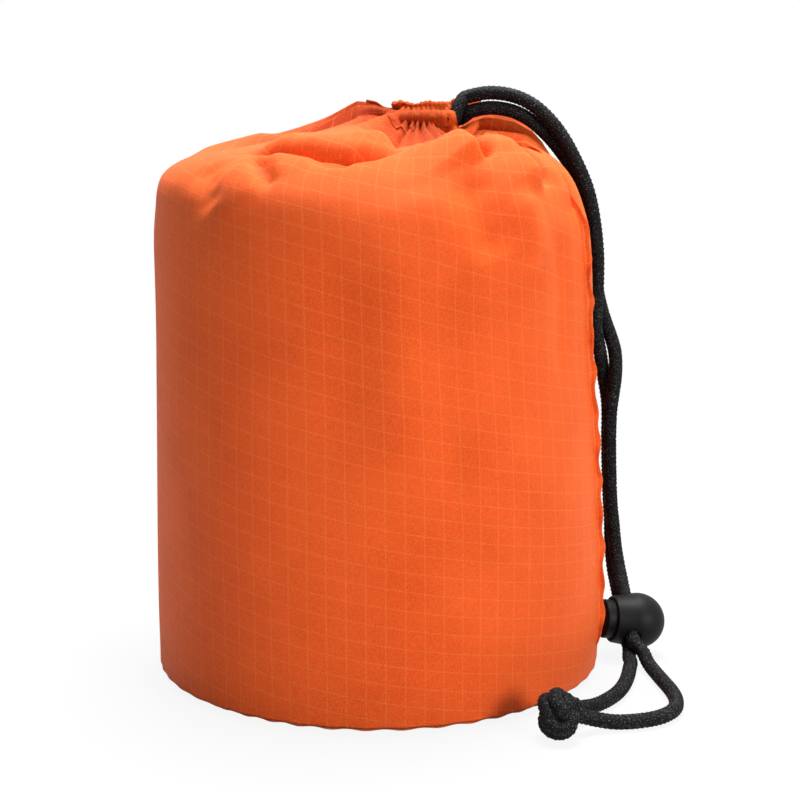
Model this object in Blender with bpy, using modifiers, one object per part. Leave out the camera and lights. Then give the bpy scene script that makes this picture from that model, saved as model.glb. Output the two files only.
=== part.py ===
"""A packed emergency tube tent: a rolled film tent in a drawstring stuff sack.

The sack stands on its round base. Its axis is the Z axis, the floor is z = 0, and the
front, from which the sack is usually seen, faces -Y. Lengths are in metres.
"""

import math

import bmesh
import bpy
from mathutils import Matrix, Vector

MM = 0.001

# Fits
SEAT_GAP = 0.3 * MM
RUN_GAP = 0.35 * MM
CUT_OVERRUN = 2.0 * MM
MERGE = 0.05 * MM

# Sack: a cloth cylinder, lapped over its base disc and drawn in at the top
SACK_RADIUS = 63.1 * MM
CLOTH = 1.0 * MM
BASE_CORNER_RADIUS = 4.5 * MM
BASE_LAP = 7.0 * MM
WALL_TOP = 115.0 * MM
SHOULDER_TILT = 7.0 * MM
SACK_LEAN = 2.2 * MM
SACK_SIDES = 60

# Gathered mouth
GATHER_X = 12.5 * MM
GATHER_Y = 14.0 * MM
NECK_TOP = 150.6 * MM
NECK_RADIUS = 9.0 * MM
NECK_HEIGHT = 1.2 * MM
PLEATS = 12
PLEAT_DEPTH = 1.2 * MM

# Drawcord and the channel that it runs in
CORD_DIAMETER = 3.8 * MM
CORD_STEP = 4.5 * MM
STRAND_GAP = 0.4 * MM
STRAND_STRAIGHT = 1.2 * MM
CORD_CLEARANCE = 0.3 * MM
CHANNEL_HALF_GAP = 34.0
CHANNEL_CORD_REACH = 5.0
CHANNEL_STATIONS = 48
HEM_FOLD_HEIGHT = 9.8 * MM
HEM_FOLD_START_SHARE = 0.4
HEM_FOLD_LEAN = 2.2 * MM
HEM_RUFFLE = 1.2 * MM
HEM_FOLD_HALF_WIDTH = 1.25 * MM
HEM_RUFFLES = 11
HEM_STEP_SHARE = 0.5

# Sewn side seam, whose allowance stands out as a wavy fin
SEAM_HEIGHT = 2.4 * MM
SEAM_THICKNESS = 1.6 * MM
SEAM_BOTTOM = 11.0 * MM
SEAM_LOW_ANGLE = -13.0
SEAM_HIGH_ANGLE = -20.0
SEAM_WAVE = 0.7 * MM
SEAM_WAVE_LENGTH = 17.0 * MM
SEAM_STEP = 4.0 * MM
SEAM_TOP_SHARE = 0.74

# Rolled tent
ROLL_CLEARANCE = 2.0 * MM
ROLL_HEIGHT_SHARE = 0.78
ROLL_LAYER = 6.0 * MM
ROLL_LAYER_GAP = 0.5 * MM
ROLL_TAIL = 1.5 * MM
ROLL_CORE_RADIUS = 3.0 * MM
ROLL_POINTS_PER_TURN = 20

# Cord lock: a ball-shaped body, a sprung plunger and the spring
LOCK_BALL_RADIUS = 8.0 * MM
LOCK_CONE_START = 3.0 * MM
LOCK_NECK_TOP = 8.0 * MM
LOCK_NECK_RADIUS = 6.75 * MM
LOCK_NECK_EDGE = 0.5 * MM
LOCK_BORE_BOTTOM = -2.9 * MM
LOCK_POCKET_BOTTOM = -6.3 * MM
LOCK_SLOT_OFFSET = 3.2 * MM
SLOT_ROUND_SHARE = 0.98
PLUNGER_RADIUS = 5.6 * MM
PLUNGER_TRAVEL = 2.2 * MM
PLUNGER_FOOT = 1.6 * MM
PLUNGER_PROUD = 3.2 * MM
PLUNGER_DOME = 0.9 * MM
SPIGOT_RADIUS = 1.8 * MM
SPIGOT_LENGTH = 1.0 * MM
SPRING_WIRE = 0.6 * MM
SPRING_RADIUS = 2.5 * MM
SPRING_TURNS = 3.5
SPRING_POINTS_PER_TURN = 10
LOCK_SIDES = 32

# End knot
KNOT_X = 46.5 * MM
KNOT_Y = -64.8 * MM
KNOT_RADIUS = 6.6 * MM
KNOT_HEIGHT_SHARE = 0.9
KNOT_LOBE_SHARE = 0.09
KNOT_FLOOR_GAP = 0.1 * MM
KNOT_ENTRY_GAP = 0.6 * MM
KNOT_SIDES = 24

SOFT_ROUTE_UNIT = MM

# The two strands leave the channel, arch over the shoulder side by side and hang down the
# right of the sack. Each row is the middle of the pair and its twist in degrees.
PAIR_ROUTE = [
    (25.5, 14.0, 158.2, -90),
    (31.0, 13.0, 159.3, -90),
    (37.5, 12.0, 158.6, -80),
    (43.5, 11.3, 155.8, -65),
    (49.5, 10.7, 150.2, -45),
    (54.5, 10.2, 143.0, -25),
    (58.8, 9.7, 134.5, -10),
    (61.2, 9.2, 125.5, 0),
    (62.3, 8.8, 115.5, 0),
    (62.7, 8.6, 105.0, 10),
    (63.9, 8.6, 96.0, 50),
    (66.0, 8.7, 88.0, 95),
    (66.8, 8.9, 80.0, 140),
    (67.0, 9.4, 72.0, 175),
    (67.2, 10.8, 62.5, 180),
    (67.8, 13.0, 52.5, 180),
    (68.6, 15.4, 43.0, 180),
    (69.5, 16.8, 35.5, 176),
    (70.0, 16.3, 28.2, 168),
]
# Below that the pair runs straight through the lock: its middle there, its direction
# and the places along it, counted from that middle.
LOCK_CROSSING = (72.09, -0.65, 10.59)
LOCK_RUN = (0.08, -0.766, -0.64)
LOCK_TWIST = 162
LOCK_RUN_PLACES = [-18.5, -15.0, -10.0, -5.0, 0.0, 4.0, 7.0, 9.0]
LOCK_BUTTON_SIDE = (-0.96, -0.2, 0.12)

# Each strand's own ends: out of the channel, and along the floor to the knot.
FRONT_EXIT = [(22.0, 11.8, 155.6), (22.9, 12.6, 157.9), (24.0, 13.5, 159.6)]
REAR_EXIT = [(21.7, 17.5, 153.9), (23.3, 16.3, 154.2), (24.9, 15.1, 155.2)]
INNER_TAIL = [
    (71.75, -10.0, 2.4),
    (71.8, -13.2, 2.05),
    (70.8, -18.0, 2.0),
    (69.5, -24.0, 2.0),
    (67.5, -31.0, 2.0),
    (64.8, -37.5, 2.0),
    (61.2, -43.2, 2.05),
    (57.2, -48.2, 2.4),
    (53.6, -52.8, 3.6),
]
OUTER_TAIL = [
    (75.3, -11.3, 4.7),
    (76.4, -15.2, 2.6),
    (77.3, -20.0, 2.0),
    (78.4, -28.0, 2.0),
    (79.5, -36.0, 2.0),
    (79.6, -43.0, 2.0),
    (78.0, -49.8, 2.0),
    (73.8, -55.0, 2.0),
    (68.2, -57.8, 2.0),
    (62.4, -58.9, 2.05),
    (57.6, -59.6, 2.8),
]
INNER_ENTRY = (0.42, 0.9, -0.2)
OUTER_ENTRY = (0.93, 0.62, -0.3)

CORD_RADIUS = CORD_DIAMETER / 2
PAIR_OFFSET = CORD_RADIUS + STRAND_GAP / 2
BASE_SEAM_RADIUS = SACK_RADIUS - BASE_CORNER_RADIUS
ROLL_BOTTOM = 2 * CLOTH + 2 * SEAT_GAP
CHANNEL_BOTTOM = NECK_TOP + SEAT_GAP
CHANNEL_HALF_WIDTH = CORD_RADIUS + CORD_CLEARANCE + CLOTH
CHANNEL_CORD_HEIGHT = CHANNEL_BOTTOM + CHANNEL_HALF_WIDTH


def new_collection(name):
    collection = bpy.data.collections.new(name)
    bpy.context.scene.collection.children.link(collection)
    return collection


def new_material(name, colour, roughness, metallic=0.0):
    material = bpy.data.materials.new(name)
    material.use_nodes = True
    shader = material.node_tree.nodes["Principled BSDF"]
    shader.inputs["Base Color"].default_value = (*colour, 1.0)
    shader.inputs["Roughness"].default_value = roughness
    shader.inputs["Metallic"].default_value = metallic
    return material


def add_object(name, data, collection, material):
    obj = bpy.data.objects.new(name, data)
    collection.objects.link(obj)
    obj.data.materials.append(material)
    return obj


def shade(obj, degrees=40.0):
    obj.data.shade_smooth()
    obj.data.set_sharp_from_angle(angle=math.radians(degrees))


def add_modifier(obj, kind, **settings):
    modifier = obj.modifiers.new(kind.title(), kind)
    for key, value in settings.items():
        setattr(modifier, key, value)
    return modifier


def loft(name, rings, collection, material, ends_capped=False):
    """A surface through rings that have the same number of points."""
    mesh = bpy.data.meshes.new(name)
    shape = bmesh.new()
    rows = [[shape.verts.new(point) for point in ring] for ring in rings]
    count = len(rows[0])
    for low, high in zip(rows, rows[1:]):
        for i in range(count):
            j = (i + 1) % count
            shape.faces.new((low[i], low[j], high[j], high[i]))
    if ends_capped:
        shape.faces.new(rows[0])
        shape.faces.new(rows[-1])
        bmesh.ops.recalc_face_normals(shape, faces=shape.faces)
    shape.to_mesh(mesh)
    shape.free()
    return add_object(name, mesh, collection, material)


def turned(name, profile, collection, material, sides):
    """A solid of revolution about local Z from (radius, height) points, top to bottom."""
    mesh = bpy.data.meshes.new(name)
    shape = bmesh.new()
    points = [shape.verts.new((radius, 0, height)) for radius, height in profile]
    for first, second in zip(points, points[1:]):
        shape.edges.new((first, second))
    shape.to_mesh(mesh)
    shape.free()
    obj = add_object(name, mesh, collection, material)
    add_modifier(
        obj,
        "SCREW",
        axis="Z",
        steps=sides,
        render_steps=sides,
        use_merge_vertices=True,
        merge_threshold=MERGE,
        use_smooth_shade=True,
    )
    return obj


def tube(name, points, radius, collection, material, resolution=2):
    """A round cord or wire along the points, with closed ends."""
    curve = bpy.data.curves.new(name, "CURVE")
    curve.dimensions = "3D"
    curve.bevel_depth = radius
    curve.bevel_resolution = resolution
    curve.use_fill_caps = True
    spline = curve.splines.new("POLY")
    spline.points.add(len(points) - 1)
    for place, point in zip(spline.points, points):
        place.co = (*point, 1)
    return add_object(name, curve, collection, material)


def arc(centre, radius, start, end, steps):
    """Points on an arc in a plane, from one angle in degrees to another."""
    points = []
    for i in range(steps + 1):
        angle = math.radians(start + (end - start) * i / steps)
        points.append((centre[0] + radius * math.cos(angle), centre[1] + radius * math.sin(angle)))
    return points


def smooth_through(points, samples=10):
    """A Catmull-Rom curve through the points."""
    line = [2 * points[0] - points[1], *points, 2 * points[-1] - points[-2]]
    result = []
    for a, b, c, d in zip(line, line[1:], line[2:], line[3:]):
        for i in range(samples):
            t = i / samples
            curve = 2 * b + (c - a) * t + (2 * a - 5 * b + 4 * c - d) * t**2 + (3 * b - a - 3 * c + d) * t**3
            result.append(curve / 2)
    return result + [points[-1]]


def spaced(points, step):
    """The same line with points evenly spaced, about a step apart."""
    lengths = [0.0]
    for first, second in zip(points, points[1:]):
        lengths.append(lengths[-1] + (second - first).length)
    count = max(2, round(lengths[-1] / step))
    result = []
    k = 0
    for i in range(count + 1):
        wanted = lengths[-1] * i / count
        while k < len(points) - 2 and lengths[k + 1] < wanted:
            k += 1
        share = (wanted - lengths[k]) / (lengths[k + 1] - lengths[k])
        result.append(points[k].lerp(points[k + 1], min(share, 1.0)))
    return result


# Sack

# The wall above the bottom corner: share of the wall's height, share of the sack's radius,
# share of the lean to the left.
WALL_SHARES = [(0.33, 1.0, 0.0), (0.6, 0.988, 0.1), (0.8, 0.967, 0.3), (0.9, 0.96, 0.4)]

# The drawn-in top, from the wall to the neck: share of the sack's radius, share of the
# rise, share of the shift to the gather, share of the lean, of the pleats' depth, of the tilt.
TOP_SHARES = [
    (0.957, 0.0, 0.0, 0.5, 0.0, 1.0),
    (0.948, 0.323, 0.0, 0.54, 0.0, 0.64),
    (0.932, 0.503, 0.0, 0.77, 0.0, 0.49),
    (0.899, 0.64, 0.01, 1.0, 0.0, 0.36),
    (0.843, 0.758, 0.03, 0.8, 0.05, 0.21),
    (0.753, 0.857, 0.1, 0.35, 0.12, 0.1),
    (0.626, 0.927, 0.28, 0.0, 0.35, 0.08),
    (0.483, 0.963, 0.52, 0.0, 0.7, 0.04),
    (0.317, 0.983, 0.8, 0.0, 1.0, 0.0),
    (0.214, 0.98, 0.976, 0.0, 0.8, 0.0),
]


class Ring:
    """One level of the sack's surface: a circle with its own middle and pleats."""

    def __init__(self, radius, height, shift=0.0, lean=0.0, pleat=0.0, tilt=0.0):
        self.radius = radius
        self.height = height
        self.shift = shift
        self.lean = lean
        self.pleat = pleat
        self.tilt = tilt

    def point(self, angle, proud=0.0):
        wave = self.pleat * PLEAT_DEPTH * math.cos(PLEATS * angle)
        reach = self.radius + proud
        return Vector(
            (
                self.shift * GATHER_X - self.lean * SACK_LEAN + reach * math.cos(angle),
                self.shift * GATHER_Y + reach * math.sin(angle),
                self.height + wave - self.tilt * SHOULDER_TILT * math.cos(angle),
            )
        )

    def points(self):
        return [self.point(math.tau * i / SACK_SIDES) for i in range(SACK_SIDES)]


def top_rings():
    rise = NECK_TOP - NECK_HEIGHT - WALL_TOP
    rings = [
        Ring(radius * SACK_RADIUS, WALL_TOP + height * rise, shift, lean, pleat, tilt)
        for radius, height, shift, lean, pleat, tilt in TOP_SHARES
    ]
    rings.append(Ring(NECK_RADIUS, NECK_TOP - NECK_HEIGHT, 1.0, pleat=0.3))
    rings.append(Ring(NECK_RADIUS, NECK_TOP, 1.0))
    return rings


def side_panel_rings():
    """From the lap on the base disc, round the bottom corner and up to the neck."""
    lap_height = CLOTH + SEAT_GAP
    rings = [
        Ring(BASE_SEAM_RADIUS - BASE_LAP, lap_height),
        Ring(BASE_SEAM_RADIUS, lap_height),
        Ring(BASE_SEAM_RADIUS, 0),
    ]
    corner = arc((BASE_SEAM_RADIUS, BASE_CORNER_RADIUS), BASE_CORNER_RADIUS, -90, 0, 5)
    rings += [Ring(radius, height) for radius, height in corner[1:]]
    rings += [Ring(radius * SACK_RADIUS, height * WALL_TOP, lean=lean) for height, radius, lean in WALL_SHARES]
    return rings + top_rings()


def make_side_panel(collection, material):
    rings = [ring.points() for ring in side_panel_rings()]
    panel = loft("side_panel", rings, collection, material)
    shade(panel)
    add_modifier(panel, "SOLIDIFY", thickness=CLOTH, offset=-1.0, use_even_offset=True)
    return panel


def make_base_panel(collection, material):
    bpy.ops.mesh.primitive_cylinder_add(
        vertices=SACK_SIDES,
        radius=BASE_SEAM_RADIUS - SEAT_GAP,
        depth=CLOTH,
        location=(0, 0, CLOTH / 2),
    )
    panel = bpy.context.active_object
    panel.name = "base_panel"
    panel.rotation_euler.z = math.tau / SACK_SIDES / 4
    for old in list(panel.users_collection):
        old.objects.unlink(panel)
    collection.objects.link(panel)
    panel.data.materials.append(material)
    return panel


def ring_between(low, high, share):
    """The ring at a share of the way from one ring to the next."""
    ring = Ring(0, 0)
    for name, value in vars(low).items():
        setattr(ring, name, value + (vars(high)[name] - value) * share)
    return ring


def seam_rings():
    """The levels of the sack's surface that the side seam runs over, bottom to top."""
    outline = [ring for ring in side_panel_rings() if ring.height >= BASE_CORNER_RADIUS]
    outline = [ring for ring in outline if ring.radius >= SEAM_TOP_SHARE * SACK_RADIUS]
    levels = []
    for low, high in zip(outline, outline[1:]):
        steps = max(1, round((high.height - low.height) / SEAM_STEP))
        levels += [ring_between(low, high, i / steps) for i in range(steps)]
    return [ring for ring in levels if ring.height >= SEAM_BOTTOM] + [outline[-1]]


def make_side_seam(collection, material):
    rings = seam_rings()
    sections = []
    climbed = 0.0
    for i, ring in enumerate(rings):
        before = rings[max(i - 1, 0)]
        after = rings[min(i + 1, len(rings) - 1)]
        climbed += math.hypot(ring.radius - before.radius, ring.height - before.height)
        rise = min(ring.height / WALL_TOP, 1.0)
        angle = math.radians(SEAM_LOW_ANGLE + (SEAM_HIGH_ANGLE - SEAM_LOW_ANGLE) * rise)
        outward = Vector((math.cos(angle), math.sin(angle), 0))
        along = Vector((-math.sin(angle), math.cos(angle), 0))
        normal = outward * (after.height - before.height) + Vector((0, 0, before.radius - after.radius))
        normal.normalize()
        wave = along * SEAM_WAVE * math.sin(math.tau * climbed / SEAM_WAVE_LENGTH)
        foot = ring.point(angle) + normal * SEAT_GAP
        edge = foot + normal * SEAM_HEIGHT + wave
        side = along * SEAM_THICKNESS / 2
        sections.append([foot - side, foot + side, edge + side, edge - side])
    seam = loft("side_seam", sections, collection, material, ends_capped=True)
    shade(seam)
    return seam


# Channel and drawcord


def gather_point(angle, radius, height):
    return Vector((GATHER_X + radius * math.cos(angle), GATHER_Y + radius * math.sin(angle), height))


# The tunnel's outline, inside and out: share of its half width, share of its height.
TUNNEL_BOTTOM_SHARES = [(-0.55, 0.0), (0.55, 0.0), (1.0, 0.25), (1.0, 0.8)]
TUNNEL_SIDE_SHARES = [(-1.0, 0.85), (-1.0, 0.25)]


def channel_section(angle):
    """The folded hem round the cord: a tunnel below, its ruffled fold above and outside."""
    half = CHANNEL_HALF_WIDTH
    tunnel = 2 * half
    lean = HEM_FOLD_LEAN + HEM_RUFFLE * math.sin(HEM_RUFFLES * angle)
    tip = HEM_FOLD_HEIGHT + HEM_RUFFLE * HEM_STEP_SHARE * math.sin(HEM_RUFFLES * HEM_STEP_SHARE * angle)
    fold = HEM_FOLD_HALF_WIDTH
    start = tunnel + (tip - tunnel) * HEM_FOLD_START_SHARE
    points = [(u * half, z * tunnel) for u, z in TUNNEL_BOTTOM_SHARES]
    points += [
        (lean + fold, start),
        (lean + fold, tip - fold),
        (lean, tip),
        (lean - fold, tip - fold),
        (lean - fold, start),
    ]
    return points + [(u * half, z * tunnel) for u, z in TUNNEL_SIDE_SHARES]


def make_channel_hem(collection, material):
    first = math.radians(CHANNEL_HALF_GAP)
    last = math.tau - first
    rings = []
    for i in range(CHANNEL_STATIONS + 1):
        angle = last + (first - last) * i / CHANNEL_STATIONS
        section = channel_section(angle)
        rings.append([gather_point(angle, NECK_RADIUS + u, CHANNEL_BOTTOM + z) for u, z in section])
    hem = loft("channel_hem", rings, collection, material)
    shade(hem)
    add_modifier(hem, "SOLIDIFY", thickness=CLOTH, offset=-1.0, use_even_offset=True)
    return hem


def channel_end(side):
    """Where the cord in the channel ends, on the front side (-1) or the rear side (1)."""
    angle = side * math.radians(CHANNEL_HALF_GAP - CHANNEL_CORD_REACH)
    return gather_point(angle, NECK_RADIUS, CHANNEL_CORD_HEIGHT), angle


def make_channel_cord(collection, material):
    angle = math.radians(CHANNEL_HALF_GAP - CHANNEL_CORD_REACH)
    steps = round((math.tau - 2 * angle) * NECK_RADIUS / (CORD_DIAMETER / 2))
    points = [
        gather_point(angle + (math.tau - 2 * angle) * i / steps, NECK_RADIUS, CHANNEL_CORD_HEIGHT)
        for i in range(steps + 1)
    ]
    return tube("channel_cord", points, CORD_RADIUS, collection, material)


def route_points(rows):
    return [Vector(row) * SOFT_ROUTE_UNIT for row in rows]


def pair_rows():
    """The middle of the pair of strands and its twist, from the arch to below the lock."""
    rows = [(Vector(row[:3]), row[3]) for row in PAIR_ROUTE]
    run = Vector(LOCK_RUN).normalized()
    for place in LOCK_RUN_PLACES:
        rows.append((Vector(LOCK_CROSSING) + run * place, LOCK_TWIST))
    return [Vector((*point, twist)) for point, twist in rows]


def pair_strand(side):
    """One strand of the pair: half the pair's width from its middle, turned by the twist."""
    line = smooth_through([Vector(row) for row in pair_rows()], samples=2)
    points = []
    for i, row in enumerate(line):
        middle = row.xyz * SOFT_ROUTE_UNIT
        along = (line[min(i + 1, len(line) - 1)].xyz - line[max(i - 1, 0)].xyz).normalized()
        front = Vector((0, -1, 0))
        front = (front - along * front.dot(along)).normalized()
        across = along.cross(front)
        twist = math.radians(row.w)
        points.append(middle + (front * math.cos(twist) + across * math.sin(twist)) * PAIR_OFFSET * side)
    return points


def knot_centre():
    half_height = KNOT_RADIUS * (1 + KNOT_LOBE_SHARE) * KNOT_HEIGHT_SHARE
    return Vector((KNOT_X, KNOT_Y, half_height + KNOT_FLOOR_GAP))


def knot_radius(direction):
    """The knot's lobed surface, before it is flattened, in a direction from its middle."""
    turn = math.atan2(direction.y, direction.x)
    climb = math.asin(max(-1.0, min(1.0, direction.z)))
    return KNOT_RADIUS * (1 + KNOT_LOBE_SHARE * math.cos(3 * turn + 2 * climb) * math.cos(climb))


def knot_surface(direction, proud=0.0):
    direction = Vector(direction).normalized()
    point = direction * (knot_radius(direction) + proud)
    point.z *= KNOT_HEIGHT_SHARE
    return knot_centre() + point


def strand_points(side, exit_rows, tail_rows, entry):
    """From the end of the cord in the channel to the knot, straight for a little at first."""
    end, angle = channel_end(-side)
    forward = Vector((-math.sin(angle), math.cos(angle), 0)) * side
    start = end + forward * SEAT_GAP
    route = [start + forward * STRAND_STRAIGHT, *route_points(exit_rows), *pair_strand(side)]
    route += [*route_points(tail_rows), knot_surface(entry, KNOT_ENTRY_GAP)]
    return [start, *spaced(smooth_through(route), CORD_STEP)]


def make_knot(collection, material):
    bpy.ops.mesh.primitive_uv_sphere_add(segments=KNOT_SIDES, ring_count=KNOT_SIDES // 2, radius=1)
    knot = bpy.context.active_object
    knot.name = "end_knot"
    for old in list(knot.users_collection):
        old.objects.unlink(knot)
    collection.objects.link(knot)
    for vertex in knot.data.vertices:
        vertex.co = knot_surface(vertex.co) - knot_centre()
    knot.location = knot_centre()
    knot.data.materials.append(material)
    shade(knot)
    return knot


# Tent


def make_tent_roll(collection, material):
    """The folded film, rolled from its middle: a spiral band on edge, snug in the sack."""
    pitch = ROLL_LAYER + ROLL_LAYER_GAP
    narrowest = TOP_SHARES[0][0] * SACK_RADIUS - SACK_LEAN
    radius = narrowest - CLOTH - ROLL_CLEARANCE
    height = ROLL_HEIGHT_SHARE * NECK_TOP
    turns = (radius - ROLL_TAIL - ROLL_CORE_RADIUS) / pitch
    steps = math.floor(turns * ROLL_POINTS_PER_TURN)
    inner = []
    outer = []
    for i in range(steps + 1):
        angle = math.tau * i / ROLL_POINTS_PER_TURN
        reach = ROLL_CORE_RADIUS + pitch * i / ROLL_POINTS_PER_TURN
        far = min(reach + ROLL_LAYER, radius)
        inner.append((reach * math.cos(angle), reach * math.sin(angle)))
        outer.append((far * math.cos(angle), far * math.sin(angle)))
    curve = bpy.data.curves.new("tent_roll", "CURVE")
    curve.dimensions = "2D"
    curve.fill_mode = "BOTH"
    curve.extrude = height / 2
    outline = [*outer, *reversed(inner)]
    spline = curve.splines.new("POLY")
    spline.points.add(len(outline) - 1)
    spline.use_cyclic_u = True
    for place, (x, y) in zip(spline.points, outline):
        place.co = (x, y, 0, 1)
    roll = add_object("tent_roll", curve, collection, material)
    roll.location.z = ROLL_BOTTOM + height / 2
    return roll


# Cord lock


def lock_frame():
    """The lock's middle and its axes: X across the pair, Y up the cord, Z to the button."""
    run = Vector(LOCK_RUN).normalized()
    button = Vector(LOCK_BUTTON_SIDE)
    button = (button - run * button.dot(run)).normalized()
    across = button.cross(run)
    middle = Vector(LOCK_CROSSING) * SOFT_ROUTE_UNIT - button * LOCK_SLOT_OFFSET
    turn = Matrix((across, -run, button)).transposed().to_4x4()
    return Matrix.Translation(middle) @ turn


def rounded_outline(width, low, high, radius, steps=6):
    """A rectangle with round corners, centred on the pair, between two heights."""
    side = width / 2 - radius
    corners = [
        ((side, low + radius), -90),
        ((side, high - radius), 0),
        ((-side, high - radius), 90),
        ((-side, low + radius), 180),
    ]
    points = []
    for centre, start in corners:
        points += arc(centre, radius, start, start + 90, steps)
    return points


def slot_cutter(name, high, collection, material):
    """What the pair of strands passes through, along the lock's Y."""
    width = 2 * PAIR_OFFSET + CORD_DIAMETER + 2 * RUN_GAP
    low = LOCK_SLOT_OFFSET - CORD_RADIUS - RUN_GAP
    radius = CORD_RADIUS + RUN_GAP
    # a little under half the height, so that the two round ends never meet in one point
    outline = rounded_outline(width, low, high, radius * SLOT_ROUND_SHARE)
    reach = LOCK_BALL_RADIUS + CUT_OVERRUN
    rings = [[Vector((x, y, z)) for x, z in outline] for y in (-reach, reach)]
    cutter = loft(name, rings, collection, material, ends_capped=True)
    cutter.hide_render = True
    cutter.display_type = "WIRE"
    return cutter


def make_lock_body(collection, cutters, material):
    bore = PLUNGER_RADIUS + RUN_GAP
    pocket = SPRING_RADIUS + SPRING_WIRE / 2 + RUN_GAP
    start = math.degrees(math.asin(LOCK_CONE_START / LOCK_BALL_RADIUS))
    ball = arc((0, 0), LOCK_BALL_RADIUS, start, -90, 10)
    profile = [
        (0, LOCK_POCKET_BOTTOM),
        (pocket, LOCK_POCKET_BOTTOM),
        (pocket, LOCK_BORE_BOTTOM),
        (bore, LOCK_BORE_BOTTOM),
        (bore, LOCK_NECK_TOP),
        (LOCK_NECK_RADIUS - LOCK_NECK_EDGE / 2, LOCK_NECK_TOP),
        (LOCK_NECK_RADIUS, LOCK_NECK_TOP - LOCK_NECK_EDGE),
        *ball[:-1],
        (0, -LOCK_BALL_RADIUS),
    ]
    body = turned("lock_body", profile, collection, material, LOCK_SIDES)
    high = LOCK_SLOT_OFFSET + CORD_RADIUS + RUN_GAP
    cutter = slot_cutter("lock_body_slot", high, cutters, material)
    add_modifier(body, "BOOLEAN", object=cutter, operation="DIFFERENCE")
    return body, cutter


# The button's crowned end: share of its radius, share of the crown's drop.
DOME_SHARES = [(0.0, 0.0), (0.55, 0.12), (0.85, 0.45), (1.0, 1.0)]


def plunger_foot():
    return LOCK_SLOT_OFFSET - CORD_RADIUS - RUN_GAP - PLUNGER_FOOT


def make_lock_plunger(collection, cutters, material):
    foot = plunger_foot()
    top = LOCK_NECK_TOP + PLUNGER_PROUD
    profile = [(radius * PLUNGER_RADIUS, top - drop * PLUNGER_DOME) for radius, drop in DOME_SHARES]
    profile += [
        (PLUNGER_RADIUS, foot),
        (SPIGOT_RADIUS, foot),
        (SPIGOT_RADIUS, foot - SPIGOT_LENGTH),
        (0, foot - SPIGOT_LENGTH),
    ]
    plunger = turned("lock_plunger", profile, collection, material, LOCK_SIDES)
    high = LOCK_SLOT_OFFSET + CORD_RADIUS + RUN_GAP + PLUNGER_TRAVEL
    cutter = slot_cutter("lock_plunger_slot", high, cutters, material)
    add_modifier(plunger, "BOOLEAN", object=cutter, operation="DIFFERENCE")
    return plunger, cutter


def make_lock_spring(collection, material):
    low = LOCK_POCKET_BOTTOM + SEAT_GAP + SPRING_WIRE / 2
    high = plunger_foot() - SEAT_GAP - SPRING_WIRE / 2
    steps = round(SPRING_TURNS * SPRING_POINTS_PER_TURN)
    points = []
    for i in range(steps + 1):
        angle = math.tau * i / SPRING_POINTS_PER_TURN
        height = low + (high - low) * i / steps
        points.append((SPRING_RADIUS * math.cos(angle), SPRING_RADIUS * math.sin(angle), height))
    return tube("lock_spring", points, SPRING_WIRE / 2, collection, material, resolution=1)


def make_cord_lock(collection, cutters, black, steel):
    """The lock is built round its plunger's axis, then set on the cord."""
    place = lock_frame()
    body, body_slot = make_lock_body(collection, cutters, black)
    plunger, plunger_slot = make_lock_plunger(collection, cutters, black)
    spring = make_lock_spring(collection, steel)
    for obj in (body, body_slot, plunger, plunger_slot, spring):
        obj.matrix_world = place
    return body, plunger, spring


def main():
    for obj in list(bpy.data.objects):
        bpy.data.objects.remove(obj)
    parts = new_collection("packed_tube_tent")
    cutters = new_collection("cutters")
    cloth = new_material("sack_cloth", (0.9, 0.13, 0.02), 0.75)
    seam_cloth = new_material("seam_cloth", (0.82, 0.1, 0.015), 0.8)
    cord = new_material("drawcord", (0.008, 0.008, 0.009), 0.7)
    black = new_material("lock_plastic", (0.01, 0.01, 0.011), 0.42)
    steel = new_material("spring_steel", (0.6, 0.6, 0.6), 0.3, 1.0)
    film = new_material("tent_film", (0.85, 0.2, 0.03), 0.35)

    make_base_panel(parts, cloth)
    make_side_panel(parts, cloth)
    make_side_seam(parts, seam_cloth)
    make_channel_hem(parts, cloth)
    make_tent_roll(parts, film)
    make_channel_cord(parts, cord)
    front = strand_points(1, FRONT_EXIT, INNER_TAIL, INNER_ENTRY)
    rear = strand_points(-1, REAR_EXIT, OUTER_TAIL, OUTER_ENTRY)
    tube("front_strand", front, CORD_RADIUS, parts, cord)
    tube("rear_strand", rear, CORD_RADIUS, parts, cord)
    make_knot(parts, cord)
    make_cord_lock(parts, cutters, black, steel)


main()
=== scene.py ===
import math

import bmesh
import bpy
import numpy as np
from mathutils import Euler, Matrix, Vector


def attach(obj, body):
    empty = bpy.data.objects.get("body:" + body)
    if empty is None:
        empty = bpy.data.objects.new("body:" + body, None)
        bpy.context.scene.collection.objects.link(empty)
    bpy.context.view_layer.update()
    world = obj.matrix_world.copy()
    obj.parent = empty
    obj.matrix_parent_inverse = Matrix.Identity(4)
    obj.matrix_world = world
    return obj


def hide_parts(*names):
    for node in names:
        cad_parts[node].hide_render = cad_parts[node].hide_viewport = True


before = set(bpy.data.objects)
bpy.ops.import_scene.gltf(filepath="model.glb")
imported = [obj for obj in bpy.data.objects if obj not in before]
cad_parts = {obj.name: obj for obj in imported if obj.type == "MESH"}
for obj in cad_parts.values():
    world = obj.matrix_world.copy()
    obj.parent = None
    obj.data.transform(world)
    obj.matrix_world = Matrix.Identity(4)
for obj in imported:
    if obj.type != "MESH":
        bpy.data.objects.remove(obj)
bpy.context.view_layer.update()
mm = 0.001  # sizes below are in millimetres and angles in degrees, where nothing else is said
print("stage: frame loaded")


# Shared helpers


def linear(hexColour):
    channels = []
    for i in (0, 2, 4):
        value = int(hexColour[i : i + 2], 16) / 255
        channels.append(value / 12.92 if value <= 0.04045 else ((value + 0.055) / 1.055) ** 2.4)
    return (*channels, 1.0)


def smooth(value, low, high):
    share = np.clip((value - low) / (high - low), 0, 1)
    return share * share * (3 - 2 * share)


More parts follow.
